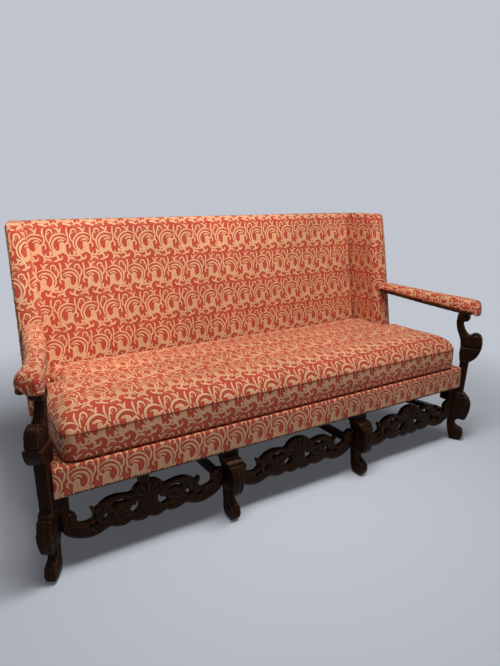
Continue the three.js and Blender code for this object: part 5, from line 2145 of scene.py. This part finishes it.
@dataclass
class Studio:
    """A plain pale floor and surround, soft lamps and the camera of the photograph."""

    backdrop: str = "C0C4CD"
    floor_paint: str = "DEE6F4"
    floor_reach: float = 14.0
    # Between these distances the floor goes over into the backdrop's even colour.
    floor_fade: tuple[float, float] = (1.3, 2.7)
    floor_glow: float = 0.12
    surround_glow: float = 0.06
    # The lamps are a little warmer than daylight.
    lamp_colour: tuple[float, float, float] = (1.0, 0.96, 0.91)
    camera_place: tuple[float, float, float] = (-1.2597, -1.9801, 1.2208)
    camera_yaw: float = 32.142
    camera_pitch: float = 14.676
    camera_roll: float = 0.005
    focal_pixels: float = 548.79
    picture_height: int = 666
    sensor: float = 36.0
    clip: tuple[float, float] = (0.05, 60.0)

    def build(self) -> None:
        """Builds the floor, the world, the lamps and the camera."""
        self.floor()
        self.world()
        for lamp in LAMPS:
            self.hang(lamp)
        self.camera()
        bpy.context.scene.view_settings.view_transform = "Standard"

    def floor(self) -> None:
        """Builds the pale floor, which mostly shows the backdrop's colour and shadows."""
        corners = [(x * self.floor_reach, y * self.floor_reach, 0)
                   for x, y in ((-1, -1), (1, -1), (1, 1), (-1, 1))]
        floor = new_piece("floor", corners, [(0, 1, 2, 3)])
        material, tree = blank_material("painted_floor")
        place = add_node(tree, "ShaderNodeTexCoord")
        away = add_node(tree, "ShaderNodeVectorMath", {0: place.outputs["Object"]},
                        operation="LENGTH")
        far = add_node(tree, "ShaderNodeMapRange",
                       {"Value": away.outputs["Value"], "From Min": self.floor_fade[0],
                        "From Max": self.floor_fade[1], "To Min": self.floor_glow},
                       interpolation_type="SMOOTHSTEP")
        matt = add_node(tree, "ShaderNodeBsdfDiffuse", {"Color": linear(self.floor_paint)})
        even = add_node(tree, "ShaderNodeEmission", {"Color": linear(self.backdrop)})
        seen = add_node(tree, "ShaderNodeMath",
                        {0: self.looked_at(tree), 1: far.outputs[0]}, operation="MULTIPLY")
        mixed = add_node(tree, "ShaderNodeMixShader",
                         {0: seen.outputs[0], 1: matt.outputs[0], 2: even.outputs[0]})
        add_node(tree, "ShaderNodeOutputMaterial", {0: mixed.outputs[0]})
        floor.data.materials.append(material)

    def world(self) -> None:
        """Builds the surround: the backdrop's colour to the camera, a dim glow otherwise."""
        world = bpy.data.worlds.new("surround")
        bpy.context.scene.world = world
        world.use_nodes = True
        tree = world.node_tree
        tree.nodes.clear()
        strength = add_node(tree, "ShaderNodeMapRange",
                            {"Value": self.looked_at(tree), "To Min": self.surround_glow})
        surround = add_node(tree, "ShaderNodeBackground",
                            {"Color": linear(self.backdrop), "Strength": strength.outputs[0]})
        add_node(tree, "ShaderNodeOutputWorld", {0: surround.outputs[0]})

    def looked_at(self, tree: bpy.types.NodeTree) -> bpy.types.NodeSocket:
        """Tells the rays of the camera, of gloss and of glass from those that light things.

        Args:
            tree: The tree that gets the nodes.

        Returns:
            A socket of one for those rays and zero for the rest.
        """
        path = add_node(tree, "ShaderNodeLightPath")
        seen = path.outputs["Is Camera Ray"]
        for kind in ("Is Glossy Ray", "Is Transmission Ray"):
            either = add_node(tree, "ShaderNodeMath", {0: seen, 1: path.outputs[kind]},
                              operation="MAXIMUM")
            seen = either.outputs[0]
        return seen

    def hang(self, lamp: Lamp) -> None:
        """Hangs one soft lamp.

        Args:
            lamp: The lamp.
        """
        light = bpy.data.lights.new(lamp.name, "AREA")
        light.shape = "RECTANGLE"
        light.size, light.size_y = lamp.size
        light.energy = lamp.power
        light.spread = math.radians(lamp.spread)
        light.color = self.lamp_colour
        hung = bpy.data.objects.new(lamp.name, light)
        hung.location = lamp.place
        aim = Vector(lamp.target) - Vector(lamp.place)
        hung.rotation_euler = aim.to_track_quat("-Z", "Y").to_euler()
        bpy.context.scene.collection.objects.link(hung)

    def camera(self) -> None:
        """Sets up the camera as the fitted photograph has it."""
        yaw, pitch = math.radians(self.camera_yaw), math.radians(self.camera_pitch)
        ahead = Vector((math.sin(yaw) * math.cos(pitch), math.cos(yaw) * math.cos(pitch),
                        -math.sin(pitch)))
        level = Vector((math.cos(yaw), -math.sin(yaw), 0))
        upward = level.cross(ahead)
        right = level * math.cos(self.camera_roll) + upward * math.sin(self.camera_roll)
        upright = -level * math.sin(self.camera_roll) + upward * math.cos(self.camera_roll)
        lens = bpy.data.cameras.new("camera")
        lens.sensor_fit = "VERTICAL"
        lens.sensor_height = self.sensor
        lens.lens = self.focal_pixels * self.sensor / self.picture_height
        lens.clip_start, lens.clip_end = self.clip
        camera = bpy.data.objects.new("camera", lens)
        turn = Matrix((right, upright, -ahead)).transposed().to_4x4()
        camera.matrix_world = Matrix.Translation(self.camera_place) @ turn
        bpy.context.scene.collection.objects.link(camera)
        bpy.context.scene.camera = camera


def main() -> None:
    """Builds the studio and every sub-assembly in order."""
    logging.basicConfig(level=logging.INFO, format="%(name)s: %(message)s")
    Studio().build()
    finishes = Finishes()
    HiddenFrame(finishes).build()
    SprungSeat(finishes).build()
    CarvedWalnut(finishes).build()
    SeatUpholstery(finishes).build()
    RailNails(finishes).build()
    Back(finishes).build()
    ArmPads(finishes).build()
    SeatCushion(finishes).build()


if __name__ == "__main__":
    main()
